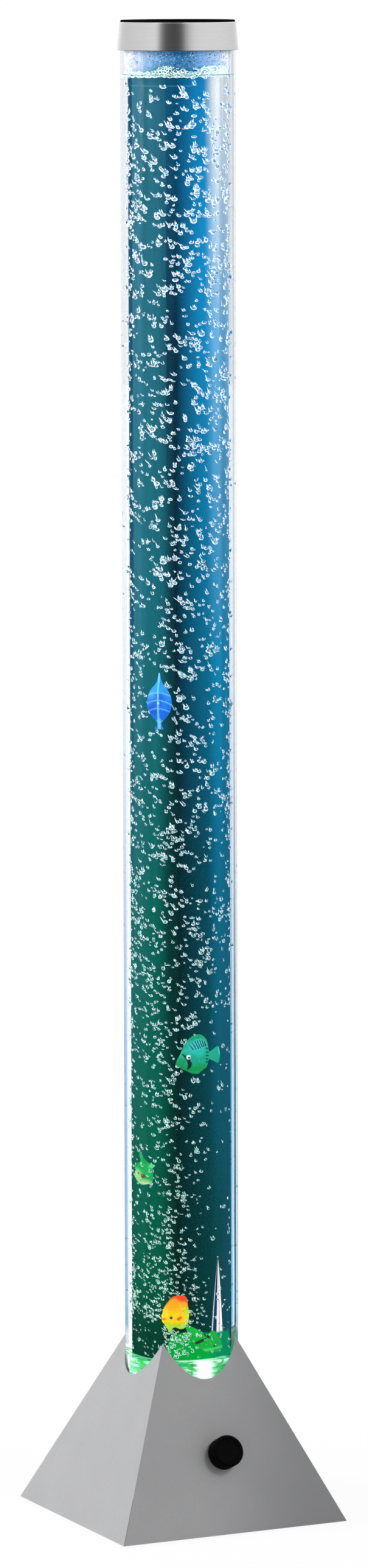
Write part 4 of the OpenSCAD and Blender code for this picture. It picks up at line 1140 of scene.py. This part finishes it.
def fish_small():
    def paint(h, v):
        cheek = max(spot(h, v, -4.8, -6.6, 2.4, 3.0, 1.6), spot(h, v, 0.6, -11.0, 2.6, 3.4, 0.7))
        return layered(
            (6, 152, 66),
            ((14, 166, 84), (h + 4) / 8),
            ((26, 160, 96), (v - 3) / 12),
            ((170, 212, 138), 0.85 * cheek),
            ((150, 222, 160), 0.6 * spot(h, v, 5.0, 3.4, 1.4, 1.6)),
            ((110, 66, 20), spot(h, v, -0.3, -5.4, 1.6, 0.35, 0.9)),
            ((176, 116, 56), 0.7 * spot(h, v, -0.8, -4.9, 0.6, 0.5, 0.8)),
            ((4, 34, 22), spot(h, v, -3.6, -3.8, 0.4, 0.25, 1.4)),
            ((4, 34, 22), spot(h, v, -7.0, -1.6, 0.4, 0.25, 1.4)),
            ((214, 236, 200), 0.5 * stroke(v + 12.0, 0.9, 1.0)),
        )

    rim = (
        (-13.6, -3.7, -3.1), (-11, -4.2, -2.0), (-8.0, -3.4, -1.2), (-6.0, -3.2, -0.2), (-5.0, -3.6, 2.0),
        (-4.4, -4.8, 6.0), (-3.6, -6.4, 6.5), (-1.6, -7.2, 5.0), (0.4, -7.3, 4.2), (3.0, -7.4, 4.8),
        (6.0, -7.3, 5.2), (9.0, -6.6, 4.8), (11.2, -5.4, 3.4), (12.4, -4.0, 0.8), (13.2, -3.2, -1.6),
    )
    plump = (
        (-9, -2.6, 0.4), (-5, -3.4, 2.6), (-1, -5.2, 4.2), (3, -6.4, 5.0), (8, -6.2, 4.8), (11.5, -4.4, 3.2),
        (12.6, -2.2, 1.0),
    )
    fish("fish_small", rim, plump, 7.0, paint, fin=0.45, upright=True, wide=1.5)


def fish_orange():
    top = (
        (-8.6, -3.6), (-8.2, -0.2), (-7.2, 4.0), (-5.7, 7.2), (-1.9, 13.0), (1.5, 14.8), (5.0, 14.9), (7.4, 14.0),
        (8.4, 12.6), (8.9, 8.6), (9.3, 4.8), (9.8, 1.0),
    )
    low = (
        (-8.6, -5.4), (-8.2, -7.0), (-6.2, -9.6), (-4.6, -13.0), (-3.4, -15.0), (-2.2, -15.1), (-1.2, -12.2),
        (0.8, -11.4), (3.6, -12.6), (5.6, -12.4), (7.1, -11.2), (8.6, -8.4), (9.4, -5.2), (9.8, -2.0),
    )
    places = (-8.6, -8.2, -7.2, -5.7, -4.6, -3.4, -2.2, -1.2, 0.8, 3.6, 5.6, 7.2, 8.5, 9.0, 9.4, 9.8)

    def paint(h, v):
        edge = curve(top, h) - v
        return layered(
            (252, 196, 10),
            ((250, 150, 14), (v + 1) / 14),
            ((250, 150, 14), 0.9 * spot(h, v, -1.5, 8.0, 3.0, 4.0)),
            ((246, 84, 20), (2.6 + 0.3 * h - edge) / 1.6 if h > -6 else 0.0),
            ((232, 60, 24), spot(h, v, 5.0, 13.4, 2.0, 2.6)),
            ((184, 202, 30), (-v - 5.4) / 2.8),
            ((140, 200, 60), (-v - 9.4) / 4),
            ((196, 208, 36), (h - 6.0 + 0.16 * v) / 1.4 if v < 5.4 else 0.0),
            ((236, 104, 24), chain(h, v, ((-8.4, -4.6, 0.4), (-7.0, -4.6, 0.8), (-5.6, -4.3, 0.3)))),
            ((208, 98, 18), segment(h, v, (2.9, -4.2), (4.4, -2.8), 1.0, 0.8, 0.4) * 0.95),
            ((40, 96, 110), spot(h, v, -2.0, -3.2, 0.95, 0.3, 1.15)),
            ((6, 14, 30), spot(h, v, -2.0, -3.2, 0.6, 0.2, 1.15)),
        )

    rim = tuple((h, curve(low, h), curve(top, h)) for h in places)
    plump = ((-8.4, -5, -3), (-6.5, -8, 4), (-3, -10, 8), (1.9, -10.8, 11.4), (5.2, -8.4, 10), (7.6, -3, 4))
    fish("fish_orange", rim, plump, 5.2, paint, 0.85, fin=0.45, wide=1.17, steps=130, rows=64)


def fish_green():
    back = ((0.6, 4.2, 0.4), (1.8, 3.2, 0.9), (3.4, 1.8, 0.9), (5.2, 0.6, 0.2))
    belly = ((-6.2, -2.8, 0.9), (-2.6, -1.0, 1.2), (0, 0, 0.7), (1.6, 0.6, 0.2))

    def paint(h, v):
        return layered(
            (0, 158, 52),
            ((0, 164, 52), (v + 8) / 14),
            ((0, 148, 76), (h - 8) / 8),
            ((8, 34, 20), chain(h, v, back)),
            ((20, 50, 26), chain(h, v, belly)),
            ((4, 60, 40), spot(h, v, 8.6, -6.4, 0.7, 0.4)),
            ((150, 226, 170), 0.4 * stroke(v - h * 0.1 + 9.4, 0.5, 1.2)),
        )

    rim = (
        (-15.4, 12.0, 14.2), (-13.5, 7.6, 13.2), (-11, 2.6, 11.8), (-8, -2.6, 10.2), (-5, -5.6, 8.6),
        (-2, -8.0, 6.6), (1, -9.8, 4.8), (3.6, -11.0, 3.6), (5.6, -11.8, 5.0), (7.4, -12.0, 6.2),
        (10, -12.0, 5.2), (13, -11.6, 0.8), (15, -10.6, -4.0), (16.2, -9.4, -7.4),
    )
    plump = (
        (-8, 0, 6), (-5, -4, 5.6), (-1, -7.6, 4.4), (3, -9.6, 4.0), (7, -10.8, 5.0), (11, -10.6, 2.6),
        (14, -10, -2.4), (15.8, -9, -7.8),
    )
    fish("fish_green", rim, plump, 5.0, paint, 0.9, fin=0.45)


# ---------------------------------------------------------------- stage


def stage_floor():
    """A pale floor that fades to white away from the lamp and keeps its shadow."""
    mesh = bpy.data.meshes.new("floor")
    points, faces = lathe([(0, 0), (1.0, 0), (3.0, 0), (14.0, 0)], 64)
    mesh.from_pydata([tuple(p - Vector((0, 0, 0.0003))) for p in points], [], faces)
    floor = bpy.data.objects.new("floor", mesh)
    bpy.context.scene.collection.objects.link(floor)
    look = Look("floor", base_color=(0.86, 0.86, 0.86), roughness=0.9, specular_ior_level=0.1)
    away = look.vector("LENGTH", look.place())
    share = look.span(away, 0.15, 0.8, 0.92, 1, smooth=True)
    path = look.add("LightPath")
    mirrors = look.math("SUBTRACT", path["Is Glossy Ray"], path["Is Transmission Ray"], clamp=True)
    blue = look.times(mirrors, look.span(away, 1.5, 6, 1, 0))
    seen = look.math("MAXIMUM", path["Is Camera Ray"], path["Is Transmission Ray"])
    # Mirrors see the floor dim, but for its far side
    facing = look.math("DIVIDE", look.along(FRONT), away)
    mirrored = look.times(path["Is Glossy Ray"], look.span(facing, *BEHIND, MIRROR_DIM, 1))
    glow = look.add("Emission", {
        "Color": look.mix(blue, (1, 1, 1), (0.3, 0.5, 0.7)),
        "Strength": look.math("ADD", look.times(seen, 1.035), mirrored),
    })
    share = look.math("MAXIMUM", look.times(share, seen), path["Is Glossy Ray"])
    mixed = look.add("MixShader", {"Fac": share, 1: look.shader.outputs[0], 2: glow[0]})
    look.plug(look.tree.nodes["Material Output"].inputs["Surface"], mixed[0])
    mesh.materials.append(look.material)


def studio():
    """White all round for the camera and through glass. Mirrors see pale walls with a dark gap on the
    photo's side, over a floor that is dim but for its far side. The rest gets plain, even light."""
    world = bpy.data.worlds.new("studio")
    bpy.context.scene.world = world
    world.use_nodes = True
    sky = Nodes(world.node_tree)
    path = sky.add("LightPath")
    where = sky.add("TexCoord")["Generated"]
    level = sky.vector("NORMALIZE", sky.vector("MULTIPLY", where, (1, 1, 0)))
    towards_photo = sky.vector("DOT_PRODUCT", level, tuple(turned_to(-7)))
    walls = sky.span(towards_photo, 0.8, 0.985, WALLS, 0.03, smooth=True)
    over = sky.span(sky.add("SeparateXYZ", {"Vector": where})["Z"], -0.01, 0.05, smooth=True)
    mirrored = sky.math("MAXIMUM", sky.times(walls, over), MIRROR_DIM)
    behind = sky.span(sky.vector("DOT_PRODUCT", level, tuple(FRONT)), *BEHIND)
    mirrored = sky.times(path["Is Glossy Ray"], sky.math("MAXIMUM", mirrored, behind))
    plain = sky.times(sky.math("SUBTRACT", 1.0, path["Is Glossy Ray"]), AMBIENT)
    straight = sky.math("MAXIMUM", path["Is Camera Ray"], path["Is Transmission Ray"])
    back = sky.tree.nodes["Background"]
    sky.plug(back.inputs["Strength"], sky.math("MAXIMUM", sky.math("ADD", plain, mirrored), straight))
    sky.plug(back.inputs["Color"], (1, 1, 1))
    world.cycles.sampling_method = "NONE"


def lamp(name, place, size, power):
    """A round lamp that shines on the lamp's lower part and isn't seen in mirrors."""
    data = bpy.data.lights.new(name, "AREA")
    data.shape = "DISK"
    data.size = size
    data.energy = power
    obj = bpy.data.objects.new(name, data)
    obj.location = place
    obj.rotation_mode = "QUATERNION"
    obj.rotation_quaternion = (LAMP_AIM - Vector(place)).to_track_quat("-Z", "Y")
    obj.visible_glossy = False
    bpy.context.scene.collection.objects.link(obj)


def camera():
    """The photo's view."""
    data = bpy.data.cameras.new("camera")
    data.sensor_fit = "VERTICAL"
    data.sensor_height = SENSOR
    data.lens = LENS
    data.clip_end = 60
    obj = bpy.data.objects.new("camera", data)
    bpy.context.scene.collection.objects.link(obj)
    obj.location = FRONT * CAMERA_FAR + Vector((0, 0, CAMERA_HIGH))
    heading = CAMERA_AZ + CAMERA_YAW
    ahead = polar(math.cos(CAMERA_PITCH), heading + math.pi / 2, -math.sin(CAMERA_PITCH))
    right = polar(1, heading)
    up = right.cross(ahead)
    cos, sin = math.cos(CAMERA_ROLL), math.sin(CAMERA_ROLL)
    obj.rotation_mode = "QUATERNION"
    turn = Matrix((cos * right + sin * up, cos * up - sin * right, -ahead)).transposed()
    obj.rotation_quaternion = turn.to_quaternion()
    bpy.context.scene.camera = obj


def lanes_of_fish():
    """For each fish, its outline seen from above and the heights that it sweeps."""
    lanes = []
    for body, (down, up) in FISH_RANGES.items():
        corners = [v.co for v in bpy.data.objects[body + "_shape"].data.vertices]
        heights = [c.z for c in corners]
        lanes.append((hull(corners), min(heights) + down, max(heights) + up))
    return lanes


tube()
water()
water_core()
mist_film()
glow_film()
fish_blue()
fish_striped()
fish_small()
fish_orange()
fish_green()
bubbles(lanes_of_fish())
foam()

stage_floor()
studio()
lamp("key", (-2.8, 0.9, 1.7), 1.6, 74)
lamp("fill", (0.6, -2.65, 2.15), 0.7, 23)
camera()
bpy.context.scene.view_settings.view_transform = "Standard"
